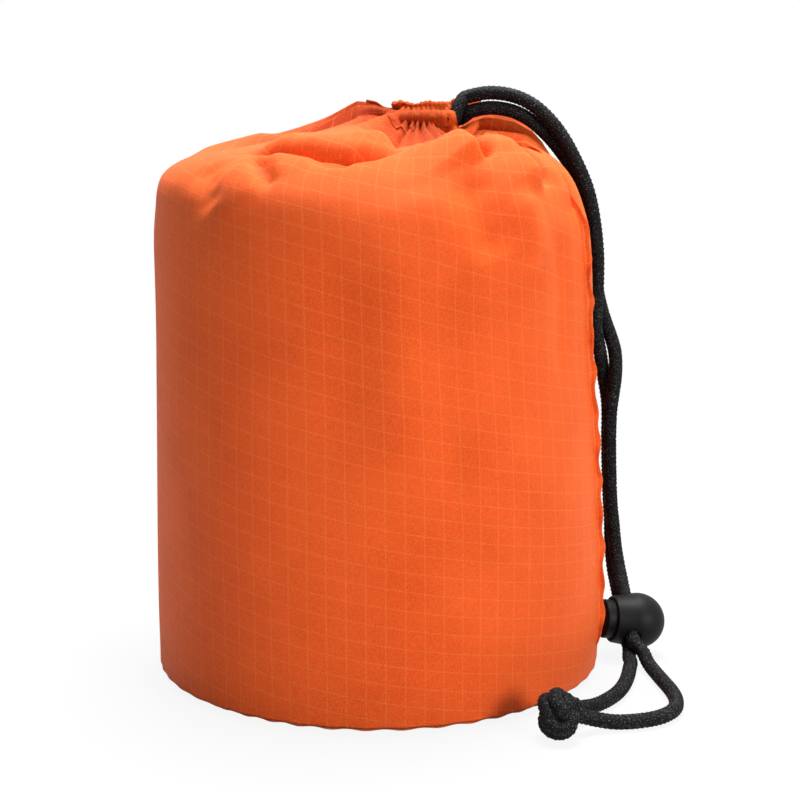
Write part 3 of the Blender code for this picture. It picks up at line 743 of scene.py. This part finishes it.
# creases and soft hollows (-) or swells (+) along lines on the cloth. lips are the raised cloth to
# the left and right of one, and how far out it is highest; fade is the share of each end that runs out
folds = [
    # full left shoulder
    {
        "width": 9.0, "depth": 1.7,
        "line": [(-48.0, 6.0, 137.0), (-41.0, 7.0, 142.5), (-34.0, 9.0, 146.0), (-27.0, 10.0, 148.0)],
    },
    # dip between the ruffle round the mouth and the cloth heaped up behind it on the left
    {
        "width": 2.6, "depth": -2.6,
        "line": [
            (8.5, 23.2, 159.0), (4.0, 19.5, 159.0), (2.5, 14.0, 159.0), (4.0, 8.5, 158.0), (7.5, 5.5, 157.0),
        ],
    },
    # under the puffed fold in front, on the left of the pleats
    {
        "width": 1.7, "depth": -3.4, "lips": (3.4, 0.8, 5.5), "sharp": True,
        "line": [
            (-34.0, -31.0, 145.4), (-25.5, -36.8, 145.7), (-19.0, -41.1, 145.2), (-12.6, -44.6, 144.6),
            (-6.2, -46.9, 144.2), (-0.8, -45.8, 144.6), (4.8, -42.6, 145.6), (9.5, -40.2, 146.4),
        ],
    },
    # its right end, where the channel's stitching turns in
    {
        "width": 1.0, "depth": -2.6, "lips": (0, 2.6, 3.6), "fade": (0.3, 0.15), "sharp": True,
        "line": [
            (-3.5, -12.0, 151.3), (-1.0, -18.9, 150.6), (2.3, -27.5, 149.0), (4.6, -35.0, 147.7),
            (5.0, -41.0, 146.0),
        ],
    },
    # under the pleats
    {
        "width": 1.4, "depth": -2.4, "lips": (0.8, 1.2, 4.0), "sharp": True,
        "line": [(8.0, -40.5, 146.4), (13.0, -40.5, 146.4), (17.2, -37.0, 147.4), (20.5, -31.5, 148.5)],
    },
    # pockets between the folds on the right
    {
        "width": 2.2, "depth": -6.6, "lips": (1.4, 4.2, 4.5),
        "line": [(19.2, -31.0, 149.0), (24.6, -37.5, 146.4), (28.7, -41.2, 143.2)],
    },
    {
        "width": 2.0, "depth": -6.2, "lips": (1.4, 3.8, 4.5),
        "line": [(29.6, -24.0, 148.6), (34.8, -28.5, 146.0), (39.9, -31.4, 142.0), (43.6, -32.6, 136.0)],
    },
    {
        "width": 2.0, "depth": -3.9, "lips": (1.2, 2.2, 4.5),
        "line": [(36.0, -13.0, 149.5), (43.0, -17.0, 145.5), (49.0, -20.0, 139.0), (52.5, -21.5, 130.0)],
    },
    # long soft hollows and a swell down the front on the right
    {
        "width": 7.5, "depth": -2.2, "lips": (0, 0.8, 9.0),
        "line": [(21.5, -48.0, 141.5), (25.0, -51.5, 134.0), (27.5, -52.5, 127.0), (30.5, -52.0, 119.0)],
    },
    {
        "width": 5.0, "depth": 2.2,
        "line": [(36.0, -42.0, 138.0), (39.5, -44.0, 129.0), (41.4, -44.9, 116.0)],
    },
    {
        "width": 4.5, "depth": -1.7,
        "line": [(46.5, -35.5, 130.0), (49.0, -36.0, 118.0), (50.0, -36.5, 102.0), (50.0, -37.5, 84.0)],
    },
    # dimples on the left shoulder
    {
        "width": 2.8, "depth": -2.8, "lips": (1.0, 0.8, 5.0),
        "line": [(-30.0, -38.5, 144.6), (-27.8, -45.5, 141.7), (-24.7, -52.0, 137.0)],
    },
    {
        "width": 4.6, "depth": -1.9,
        "line": [(-43.0, -31.0, 142.0), (-42.0, -38.5, 138.0), (-40.0, -44.0, 131.0)],
    },
    {
        "width": 1.8, "depth": -1.6,
        "line": [(-17.0, -46.0, 143.6), (-10.5, -49.3, 142.6), (-5.0, -50.0, 142.6)],
    },
    # soft folds down the wall
    {
        "width": 7.0, "depth": -1.1,
        "line": [(-14.0, -60.0, 128.0), (-9.0, -61.5, 112.0), (-7.5, -62.2, 92.0), (-9.0, -62.3, 70.0)],
    },
    {
        "width": 6.5, "depth": 1.0,
        "line": [(4.0, -61.0, 134.0), (6.0, -62.0, 112.0), (6.5, -62.6, 86.0), (5.0, -62.8, 60.0)],
    },
    {
        "width": 6.0, "depth": -0.9,
        "line": [(20.0, -58.0, 122.0), (19.0, -59.6, 100.0), (20.0, -59.8, 76.0), (22.0, -59.2, 50.0)],
    },
]


# rows of (radius, height, shift, lean, tilt, hem) from the base seam into the channel
def meridian():
    corner = sack["cornerRadius"]
    seam = sack["radius"] - corner
    rise = sack["neckTop"] - sack["neckHeight"] - sack["wallTop"]
    rows = [(seam + out, up, 0, 0, 0, 0) for out, up in lapRows]
    for angle in np.radians((-72, -54, -36, -18, 0)):  # round the wall's foot
        rows.append((seam + corner * math.cos(angle), corner * (1 + math.sin(angle)), 0, 0, 0, 0))
    for height, radius, lean, tilt in wallShares:
        rows.append((radius * sack["radius"], height * sack["wallTop"], 0, lean, tilt, 0))
    for radius, height, shift, lean, tilt in topShares:
        rows.append((radius * sack["radius"], sack["wallTop"] + height * rise, shift, lean, tilt, 0))
    for out, up in hemShares:
        rows.append((sack["neckRadius"] + out, sack["neckTop"] + up, 1, 0, 0, 1))
    return np.array(rows, float)


# radius and climb of the same rows once the cloth is heaped
def heapedRows(control):
    radius, climb = control[:, 0].copy(), np.zeros(len(control))
    first = int(np.argmax(control[:, 5] > 0.5))
    last = first + len(heapedHem)
    radius[first:last], climb[first:last] = np.transpose(heapedHem)
    radius[first - 1] = heaping["foot"]
    climb[last:] = (control[last:, 1] - sack["neckTop"]) / (sack["mouthTop"] - sack["neckTop"])
    return np.stack([radius, climb], axis=1)


# outward directions of the cloth, from points averaged over 5 rows and 9 columns
def gridNormals(points):
    padded = np.pad(points, ((2, 2), (0, 0), (0, 0)), mode="edge")
    eased = sum(padded[k : k + len(points)] for k in range(5)) / 5
    eased = sum(np.roll(eased, k, axis=1) for k in range(-4, 5)) / 9
    down = np.gradient(eased, axis=0)
    across = np.roll(eased, -1, axis=1) - np.roll(eased, 1, axis=1)
    normals = np.cross(across, down)
    return normals / np.maximum(np.linalg.norm(normals, axis=-1, keepdims=True), 1e-9)


# smooth wandering values over the cloth that join up round the sack; angles are in radians
def wobble(angles, along, kind):
    seed, waves, mostTurns, mostRate, height = wobbles[kind]
    random = np.random.default_rng(seed)
    total = 0
    for _ in range(waves):
        turns = random.integers(1, mostTurns + 1)
        rate = random.uniform(-mostRate, mostRate) * 2 * math.pi
        share = random.uniform(0.5, 1)
        total = total + share * np.sin(turns * angles + rate * along + random.uniform(0, 2 * math.pi))
    return height * total / math.sqrt(waves)


# valleys that run out from the gather
def pleatMove(gatherAngle, reach):
    random = np.random.default_rng(pleating["seed"])
    valleys = [*frontPleats]
    for kind in pleatKinds:
        for i in range(kind["count"]):
            jitter = random.uniform(-pleating["jitter"], pleating["jitter"])
            angle = turned(360 * (i + jitter) / kind["count"])
            drawn = ("swirl", "length", "depth", "width")
            swirl, length, depth, width = (random.uniform(*kind[key]) for key in drawn)
            if not any(low < angle < high for low, high in kind["skip"]):
                valleys.append((angle, angle + swirl, length, depth, width))
    start, startDepth = pleating["start"], pleating["startDepth"]
    fadeFrom, fadeTo = pleating["fade"]
    opening = pleating["startWidth"] + pleating["spread"] * np.maximum(reach - start, 0)
    deepening = startDepth + (1 - startDepth) * smooth(reach, start, pleating["fullDepth"])
    move = np.zeros(reach.shape)
    for angle, far, length, depth, width in valleys:
        centre = angle + turned(far - angle) * np.clip((reach - start) / length, 0, 1)
        side = np.radians(turned(gatherAngle - centre)) * np.maximum(reach, pleating["leastReach"])
        fade = 1 - smooth(reach, start + fadeFrom * length, start + fadeTo * length)
        move = move - depth * fade * deepening * bell(side, width * opening, pleating["power"])
    return move


# creases and soft hollows along lines on the cloth: all of them, and the narrow ones alone, which also set
# the painted crease shade
def foldMove(points, normals):
    move = np.zeros(points.shape[:2])
    shadedFolds = np.zeros(points.shape[:2])
    for fold in folds:
        line = np.array(fold["line"])
        left, right, lipReach = fold.get("lips", (0, 0, 1))
        box = max(fold["width"] * foldForm["reach"], lipReach * foldForm["lipReach"])
        near = np.all((points > line.min(axis=0) - box) & (points < line.max(axis=0) + box), axis=-1)
        p, n = points[near], normals[near]
        lengths = lengthsAlong(line)
        best = np.full(len(p), np.inf)
        side, share = np.zeros(len(p)), np.zeros(len(p))
        for start, a, b in zip(lengths, line, line[1:]):
            along = b - a
            t = np.clip((p - a) @ along / (along @ along), 0, 1)
            away = p - a - t[:, None] * along
            distance = np.linalg.norm(away, axis=1)
            closer = distance < best
            best = np.where(closer, distance, best)
            side = np.where(closer, np.sum(np.cross(along, away) * n, axis=1), side)
            share = np.where(closer, (start + t * np.linalg.norm(along)) / lengths[-1], share)
        power = foldForm["sharpPower" if fold.get("sharp") else "softPower"]
        value = fold["depth"] * bell(best, fold["width"], power)
        d = best / lipReach
        value = value + (left * (side > 0) + right * (side < 0)) * d * np.exp(1 - d)
        first, last = fold.get("fade", foldForm["fade"])
        value = value * window(share, (-foldForm["overrun"], first), (1 - last, 1 + foldForm["overrun"]))
        move[near] += value
        if fold["width"] < pleating["paintedShadeWidth"]:
            shadedFolds[near] += value
    return move, shadedFolds


def makeSackPoints():
    control = meridian()
    samples = catmull(control, sack["samples"])
    lengths = lengthsAlong(samples[:, :2])
    topRowsFrom = lengths[np.argmax(samples[:, 5] > 0.5)] - sack["topRows"]
    along = [0.0]
    while along[-1] < lengths[-1]:
        along.append(along[-1] + (sack["rowStep"] if along[-1] < topRowsFrom else sack["topRowStep"]))
    along = np.array(along[:-1])[:, None]
    table = np.column_stack([lengths, samples, catmull(heapedRows(control), sack["samples"])])
    radius, rowHeight, shift, lean, tilt, hem, heapedRadius, climb = readTable(table, along)
    hem = smooth(hem, 0, 1)
    onTop = rowHeight > sack["wallTop"] * sack["topFrom"]
    inside = np.arange(len(along))[:, None] > np.argmax(climb)

    # the plain sack, with the first column on the side seam
    seamLow, seamHigh = sack["seamAngles"]
    seamAngle = np.radians(seamLow + (seamHigh - seamLow) * np.clip(rowHeight / sack["wallTop"], 0, 1))
    angles = seamAngle + np.linspace(0, 2 * math.pi, sack["columns"], endpoint=False)
    gatherX, gatherY = channel["centre"]
    x = shift * gatherX - lean * sack["lean"] + radius * np.cos(angles)
    y = shift * gatherY + radius * np.sin(angles)
    z = rowHeight - tilt * sack["tilt"] * np.cos(angles)
    gatherAngle = np.degrees(np.arctan2(y - gatherY, x - gatherX))

    # the cloth heaped up round the mouth
    shrink = heapedRadius / np.maximum(radius, 1)
    x, y = gatherX + (x - gatherX) * shrink, gatherY + (y - gatherY) * shrink
    reach = np.hypot(x - gatherX, y - gatherY)
    closed = smooth(np.abs(gatherAngle), *heaping["opening"])
    heapHeight, heapStart, heapFall = readTable(heap, gatherAngle)
    raised = heapHeight * bell(np.maximum(reach - heapStart, 0), heapFall, heaping["fallPower"]) * onTop
    raised = raised * (1 - (1 - smooth(reach, *heaping["openingFade"])) * (1 - closed))
    raised = raised * smooth(rowHeight, *heaping["heights"])
    foot = np.minimum(z, sack["neckTop"] - heaping["under"]) + raised * ~inside
    least = heaping["openingClimb"]
    z = foot + (sack["mouthTop"] - foot) * climb * (least + (1 - least) * closed)
    points = np.stack([x, y, z], axis=-1)
    normals = gridNormals(points)

    # pleats, folds, slow waves and the puckers above the base seam
    rimShare = pleating["rimShare"]
    move = pleatMove(gatherAngle, reach) * smooth(rowHeight, *pleating["heights"])
    move = move * np.where(inside, rimShare, 1 - (1 - rimShare) * smooth(climb, *pleating["rimFade"]))
    calm = bell(gatherAngle - pleating["calmAngle"], pleating["calmSpread"])
    move = move * (1 - pleating["calmShare"] * calm)
    move = move * (1 - pleating["openingCalm"] * (1 - closed) * hem)
    folded, shadedFolds = foldMove(points, normals)
    # painted shade: the pleats and narrow folds darken towards a deeper red, the deeper they are
    paintedCreaseShade = np.clip(-(move + shadedFolds * ~inside) / pleating["paintedShadeDepth"], 0, 1)
    waves = wobble(angles, along, "broad") + wobble(angles, along, "fine")
    move = move + waves * smooth(along, *wobbleFrom) * (1 - hem)
    puckers = np.sin(pucker["count"] * angles + wobble(angles, 0, "pucker"))
    move = move + pucker["height"] * puckers * window(along, pucker["rise"], pucker["fall"])
    move = move + folded * ~inside

    # flat under the cords and swelled out beside them
    aroundSack = np.degrees(angles)
    underCords = bell(turned(aroundSack - cordRest["flatAngle"]), cordRest["flatSpread"]) * (1 - hem)
    move = np.where(move > 0, move * (1 - underCords), move)
    beside = bell(turned(aroundSack - besideCord["angle"]), besideCord["spread"])
    move = move + besideCord["swell"] * beside * window(z, besideCord["low"], besideCord["high"])
    x, y, z = np.moveaxis(points + normals * move[..., None], -1, 0)
    (crestTop,) = readTable(heapCrest, gatherAngle)
    z = z - heaping["crestShare"] * np.maximum(z - crestTop, 0) * (reach > sack["neckRadius"])

    # the cloth stays outside the cord that runs round inside the channel
    fromGather = np.hypot(x - gatherX, y - gatherY)
    aside, above = fromGather - channel["radius"], z - channel["height"]
    apart = np.maximum(np.hypot(aside, above), 1e-6)
    held = onTop & (np.abs(gatherAngle) > channel["clearFrom"])
    push = np.where(held, np.maximum(channel["clear"] / apart, 1), 1)
    wider = (channel["radius"] + aside * push) / np.maximum(fromGather, 1e-6)
    x, y = gatherX + (x - gatherX) * wider, gatherY + (y - gatherY) * wider
    z = channel["height"] + above * push

    # and under the pair of cords where they lie on it
    pressY, pressTop, pressHalf = readTable(cordPress, x)
    aside = np.maximum(np.abs(y - pressY) - pressHalf, 0)
    limit = pressTop - cordRest["gap"] + cordRest["spread"] * aside ** cordRest["spreadPower"]
    limit = limit + cordRest["free"] * (1 - smooth(x, *cordRest["start"]))
    z = np.where(onTop, np.minimum(z, limit), z)
    ripple = wobble(np.radians(gatherAngle), 0, "rim") - rimRipple["down"]
    z = z + np.minimum(ripple, rimRipple["most"]) * smooth(z, *rimRipple["heights"]) * (hem > 0)
    return np.stack([x, y, z], axis=-1), angles, along[:, 0], paintedCreaseShade


def makeSackCloth(points, angles, along, paintedCreaseShade):
    faces = gridFaces(*points.shape[:2], True)
    row, column, closing = gridCorners(faces, points.shape[1])
    around = (angles[row, column] + np.where(closing, 2 * math.pi, 0)) * sack["radius"]
    uvs = np.stack([around, along[row]], axis=-1)
    cloth = newMesh("sackCloth", points.reshape(-1, 3) * mm, faces, uvs)
    # how deep the pleats and narrow folds are, kept for the painted crease shade
    creaseShading = cloth.data.attributes.new("paintedCreaseShade", "FLOAT", "POINT")
    creaseShading.data.foreach_set("value", paintedCreaseShade.astype(np.float32).ravel())
    return cloth


# Ripstop nylon, woven from fine filament with a coarser thread every 5 mm each way, and coated:
# a satin surface with a small raised grid, slightly cloudy, with painted shade, deeper red, in the creases.
# The real threads are about 0.1 mm apart, so the weave and the dashes on the coarse thread are drawn coarser.
ripstop = {
    "colour": "fa642b",
    "shade": "dc4a1c",
    "line": "ff8a4e",
    "lineShare": 0.4,
    # painted shade laid into the creases, and how much of it
    "paintedCreaseShade": "b0280a",
    "paintedShadeShare": 0.9,
    "gridStep": 5.0,
    "lineWidth": 0.34,
    "threadStep": 0.42,
    "dashStep": 0.93,
    "dashDepth": 0.35,
    "roughness": 0.55,
    "specular": 0.2,
    "specularTint": "ffc070",
    "sheen": 0.2,
    "sheenRoughness": 0.5,
    "sheenTint": "ffb050",
    "weaveRelief": 0.07,
    "lineRelief": 0.07,
    "grainSize": 0.45,
    "grainRelief": 0.15,
    "grainRange": (0.35, 0.65),
    "grainShade": 0.48,
    "cloudSize": 26.0,
    "cloudRange": (0.4, 0.75),
    "cloudShade": 0.4,
}


# the share of shade that noise of one size brings in, and the noise itself
def shadeNoise(tree, places, kind, detail):
    noiseInputs = {"Vector": places, "Scale": 1 / ripstop[kind + "Size"], "Detail": detail}
    noise = addNode(tree, "TexNoise", noiseInputs)
    low, high = ripstop[kind + "Range"]
    shareInputs = {"Value": noise, "From Min": low, "From Max": high, "To Max": ripstop[kind + "Shade"]}
    return addNode(tree, "MapRange", shareInputs), noise


# a ripstop material for cloth whose two places across it, in millimetres, place(tree) gives
def makeRipstop(name, place):
    values = ripstop
    material, tree, shader = newMaterial(
        name,
        values,
        Specular_IOR_Level=values["specular"],
        Specular_Tint=linear(values["specularTint"]),
        Sheen_Weight=values["sheen"],
        Sheen_Roughness=values["sheenRoughness"],
        Sheen_Tint=linear(values["sheenTint"]),
    )
    u, v = place(tree)
    halfLine = values["lineWidth"] / 2 / values["gridStep"]
    waves = []
    lines = []
    for across, other in ((u, v), (v, u)):
        cell = addNode(tree, "Math", {0: across, 1: values["gridStep"]}, operation="DIVIDE")
        fromLine = addNode(tree, "Math", {0: cell, 1: 0.5}, operation="PINGPONG")
        line = addNode(tree, "Math", {0: fromLine, 1: halfLine}, operation="LESS_THAN")
        turn = addNode(tree, "Math", {0: other, 1: 2 * math.pi / values["dashStep"]}, operation="MULTIPLY")
        dash = addNode(tree, "Math", {0: turn}, operation="SINE")
        dashInputs = {0: dash, 1: values["dashDepth"], 2: 1 - values["dashDepth"]}
        dash = addNode(tree, "Math", dashInputs, operation="MULTIPLY_ADD")
        lines.append(addNode(tree, "Math", {0: line, 1: dash}, operation="MULTIPLY"))
        turn = addNode(tree, "Math", {0: across, 1: 2 * math.pi / values["threadStep"]}, operation="MULTIPLY")
        waves.append(addNode(tree, "Math", {0: turn}, operation="SINE"))
    line = addNode(tree, "Math", {0: lines[0], 1: lines[1]}, operation="MAXIMUM")
    weave = addNode(tree, "Math", {0: waves[0], 1: waves[1]}, operation="MULTIPLY")

    places = placesInMm(tree)
    grainShade, grain = shadeNoise(tree, places, "grain", 2.0)
    cloudShade, _ = shadeNoise(tree, places, "cloud", 3.0)
    shade = addNode(tree, "Math", {0: cloudShade, 1: grainShade}, operation="ADD")
    # painted crease shade, from the fold depth kept on the cloth
    creaseShading = addNode(tree, "Attribute", attribute_name="paintedCreaseShade").outputs["Fac"]
    creaseShading = addNode(tree, "Math", {0: creaseShading, 1: values["paintedShadeShare"]}, operation="MULTIPLY")
    lined = addNode(tree, "Math", {0: line, 1: values["lineShare"]}, operation="MULTIPLY")
    colour = linear(values["colour"])
    for share, name in ((shade, "shade"), (creaseShading, "paintedCreaseShade"), (lined, "line")):
        mix = addNode(tree, "Mix", {0: share, 6: colour, 7: linear(values[name])}, data_type="RGBA")
        colour = mix.outputs[2]

    height = addNode(tree, "Math", {0: weave, 1: values["weaveRelief"]}, operation="MULTIPLY")
    for relief, key in ((line, "lineRelief"), (grain, "grainRelief")):
        height = addNode(tree, "Math", {0: relief, 1: values[key], 2: height}, operation="MULTIPLY_ADD")
    bump = addNode(tree, "Bump", {"Height": height, "Strength": 1.0, "Distance": mm})
    setInputs(shader, {"Base Color": colour, "Normal": bump})
    return material


# the sack's own cloth lies by its UVs, which are in millimetres, with the squares a little askew
def unrolledPlaces(tree):
    split = addNode(tree, "SeparateXYZ", {"Vector": addNode(tree, "UVMap", uv_map="UVMap")})
    u, v = split.outputs[0], split.outputs[1]
    return u, addNode(tree, "Math", {0: u, 1: sack["threadShear"], 2: v}, operation="MULTIPLY_ADD").outputs[0]


def flatPlaces(tree):
    split = addNode(tree, "SeparateXYZ", {"Vector": placesInMm(tree)})
    return split.outputs[0], split.outputs[1]


ripstopMaterial = makeRipstop("ripstopNylon", unrolledPlaces)
sackPoints, sackAngles, sackAlong, sackCreaseShade = makeSackPoints()
sackCloth = makeSackCloth(sackPoints, sackAngles, sackAlong, sackCreaseShade)
sackCloth.data.materials.append(ripstopMaterial)
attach(sackCloth, "sack")
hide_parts("side_panel", "channel_hem")
print("stage: sack cloth", len(sackCloth.data.vertices))


# Side seam: the folded and stitched allowance, which stands out as a thin wavy fin

seamFin = {
    "height": 2.1,
    "bottom": 7.0,
    "stopFromGather": 17.0,
    "step": 0.7,
    "sink": 0.35,
    "wave": 0.85,
    "waveLength": 17.0,
    "secondWave": (0.35, 2.7, 1.0),  # share of the first, times as many, start in radians
    "heightWave": (0.15, 1.7, 2.0),
    "meanHeight": 0.9,
    "endLength": 5.0,
    "endHeight": 0.15,
    "uvStep": 0.7,
}
# across in millimetres, share of the height
finSection = [
    (-1.4, -0.15), (-0.48, 0.45), (-0.4, 0.72), (-0.32, 0.95), (0, 1.04),
    (0.32, 0.95), (0.4, 0.72), (0.48, 0.45), (1.4, -0.15),
]


def makeSeamFin(points, normals):
    column, outward = points[:, 0], normals[:, 0]
    fromGather = np.linalg.norm(column[:, :2] - channel["centre"], axis=1)
    first = int(np.argmax(column[:, 2] > seamFin["bottom"]))
    last = int(np.argmax((fromGather < seamFin["stopFromGather"]) & (column[:, 2] > sack["wallTop"])))
    lengths = lengthsAlong(column[first:last])
    wanted = np.arange(0, lengths[-1], seamFin["step"])
    table = np.column_stack([lengths, column[first:last], outward[first:last]])
    foot, outward = np.split(np.stack(readTable(table, wanted), axis=1), 2, axis=1)
    tangent = unit(np.gradient(foot, axis=0))
    outward = unit(outward - tangent * np.sum(outward * tangent, axis=1)[:, None])
    side = np.cross(outward, tangent)
    turn = 2 * math.pi * wanted / seamFin["waveLength"]
    share, rate, start = seamFin["secondWave"]
    wave = seamFin["wave"] * (np.sin(turn) + share * np.sin(rate * turn + start))
    share, rate, start = seamFin["heightWave"]
    tall = seamFin["height"] * (seamFin["meanHeight"] + share * np.sin(rate * turn + start))
    fromEnd = np.minimum(wanted, wanted[-1] - wanted)
    tall = tall * np.minimum(1, fromEnd / seamFin["endLength"] + seamFin["endHeight"])
    rings = []
    for across, up in finSection:
        aside, out = across + wave * max(up, 0), tall * up - seamFin["sink"]
        rings.append(foot + side * aside[:, None] + outward * out[:, None])
    count = len(finSection)
    faces = gridFaces(len(wanted), count, False)
    uvs = np.stack([faces % count * seamFin["uvStep"], wanted[faces // count]], axis=-1)
    return newMesh("seamFin", np.stack(rings, axis=1).reshape(-1, 3) * mm, faces, uvs)


seamPiece = makeSeamFin(sackPoints, gridNormals(sackPoints))
seamPiece.data.materials.append(ripstopMaterial)
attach(seamPiece, "sack")
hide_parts("side_seam")
print("stage: side seam")


# CAD nodes that stay: base panel, tent, cord in the channel and the lock's spring

spring = {"colour": "c4c6c8", "roughness": 0.28, "streakSize": 0.4, "streaks": (0.2, 0.4)}
film = {"colour": "f0641e", "roughness": 0.3, "creaseSize": 8.333, "creaseRelief": 0.6, "creaseStrength": 0.6}


# Spring steel, drawn to wire and coiled: bright grey, with a shine that fine drawing marks break up
def makeSpringMaterial():
    material, tree, shader = newMaterial("springSteel", spring, Metallic=1.0)
    streaks = addNode(tree, "TexNoise", {"Vector": placesInMm(tree), "Scale": 1 / spring["streakSize"]})
    low, high = spring["streaks"]
    rough = addNode(tree, "MapRange", {"Value": streaks, "To Min": low, "To Max": high})
    setInputs(shader, {"Roughness": rough})
    return material


# Polyethylene film, blown thin and folded: a soft plastic shine that shallow creases break up
def makeFilmMaterial():
    material, tree, shader = newMaterial("polyethyleneFilm", film)
    creaseInputs = {"Vector": placesInMm(tree), "Scale": 1 / film["creaseSize"], "Detail": 4.0}
    creases = addNode(tree, "TexNoise", creaseInputs)
    relief = {"Height": creases, "Strength": film["creaseStrength"], "Distance": film["creaseRelief"] * mm}
    setInputs(shader, {"Normal": addNode(tree, "Bump", relief)})
    return material


def setMaterial(node, material):
    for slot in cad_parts[node].material_slots:
        slot.material = material


setMaterial("lock_spring", makeSpringMaterial())
setMaterial("channel_cord", braidMaterial)
setMaterial("tent_roll", makeFilmMaterial())
setMaterial("base_panel", makeRipstop("ripstopNylonBase", flatPlaces))
print("stage: CAD materials")


# Floor, world and lights

studio = {
    "world": 0.04,
    "floorSize": 8000.0,
    "floorDrop": 0.1,
    "floorNear": 0.9,
    "floorFar": 1.0,
    "floorFade": (90.0, 300.0),
    "lampTarget": (0, 0, 75),
    "key": {"place": (700, -750, 350), "size": 340, "power": 7.9},
    "fill": {"place": (-420, -1000, 260), "size": 900, "power": 0.5},
    "top": {"place": (40, 120, 900), "size": 420, "power": 20.5},
}
floorPaper = {"colour": "c0c0c0", "roughness": 0.9}
white = (1, 1, 1, 1)


# 1 for what the camera sees straight, in a reflection or through something, and 0 for the light itself
def backgroundRays(tree):
    rays = addNode(tree, "LightPath").outputs
    seen = addNode(tree, "Math", {0: rays["Is Camera Ray"], 1: rays["Is Glossy Ray"]}, operation="MAXIMUM")
    return addNode(tree, "Math", {0: seen, 1: rays["Is Transmission Ray"]}, operation="MAXIMUM")


def makeWorld():
    world = bpy.data.worlds.new("studio")
    bpy.context.scene.world = world
    world.use_nodes = True
    tree = world.node_tree
    tree.nodes.clear()
    lighting = addNode(tree, "Background", {"Color": white, "Strength": studio["world"]})
    backdrop = addNode(tree, "Background", {"Color": white, "Strength": 1.0})
    mix = addNode(tree, "MixShader", {0: backgroundRays(tree), 1: lighting, 2: backdrop})
    addNode(tree, "OutputWorld", {"Surface": mix})


# Paper, matt and pale: it takes the sack's shadow, and runs out into a white background
def makeFloor():
    place = (0, 0, -studio["floorDrop"] * mm)
    bpy.ops.mesh.primitive_plane_add(size=studio["floorSize"] * mm, location=place)
    floor = bpy.context.active_object
    floor.name = "floor"
    material, tree, shader = newMaterial("floorPaper", floorPaper, Specular_IOR_Level=0.0)
    glow = addNode(tree, "Emission", {"Color": white, "Strength": 1.0})
    near, far = studio["floorFade"]
    away = addNode(tree, "VectorMath", {0: placesInMm(tree)}, operation="LENGTH").outputs["Value"]
    fadeInputs = {
        "Value": away,
        "From Min": near,
        "From Max": far,
        "To Min": studio["floorNear"],
        "To Max": studio["floorFar"],
    }
    fade = addNode(tree, "MapRange", fadeInputs, interpolation_type="SMOOTHSTEP")
    share = addNode(tree, "Math", {0: backgroundRays(tree), 1: fade}, operation="MULTIPLY")
    mix = addNode(tree, "MixShader", {0: share, 1: shader, 2: glow})
    setInputs(tree.nodes["Material Output"], {"Surface": mix})
    floor.data.materials.append(material)


def makeLight(name):
    values = studio[name]
    data = bpy.data.lights.new(name, "AREA")
    data.size = values["size"] * mm
    data.energy = values["power"]
    aim(newObject(name, data), values["place"], studio["lampTarget"])


makeWorld()
makeFloor()
for lamp in ("key", "fill", "top"):
    makeLight(lamp)
bpy.context.scene.view_settings.view_transform = "Standard"
print("stage: studio")
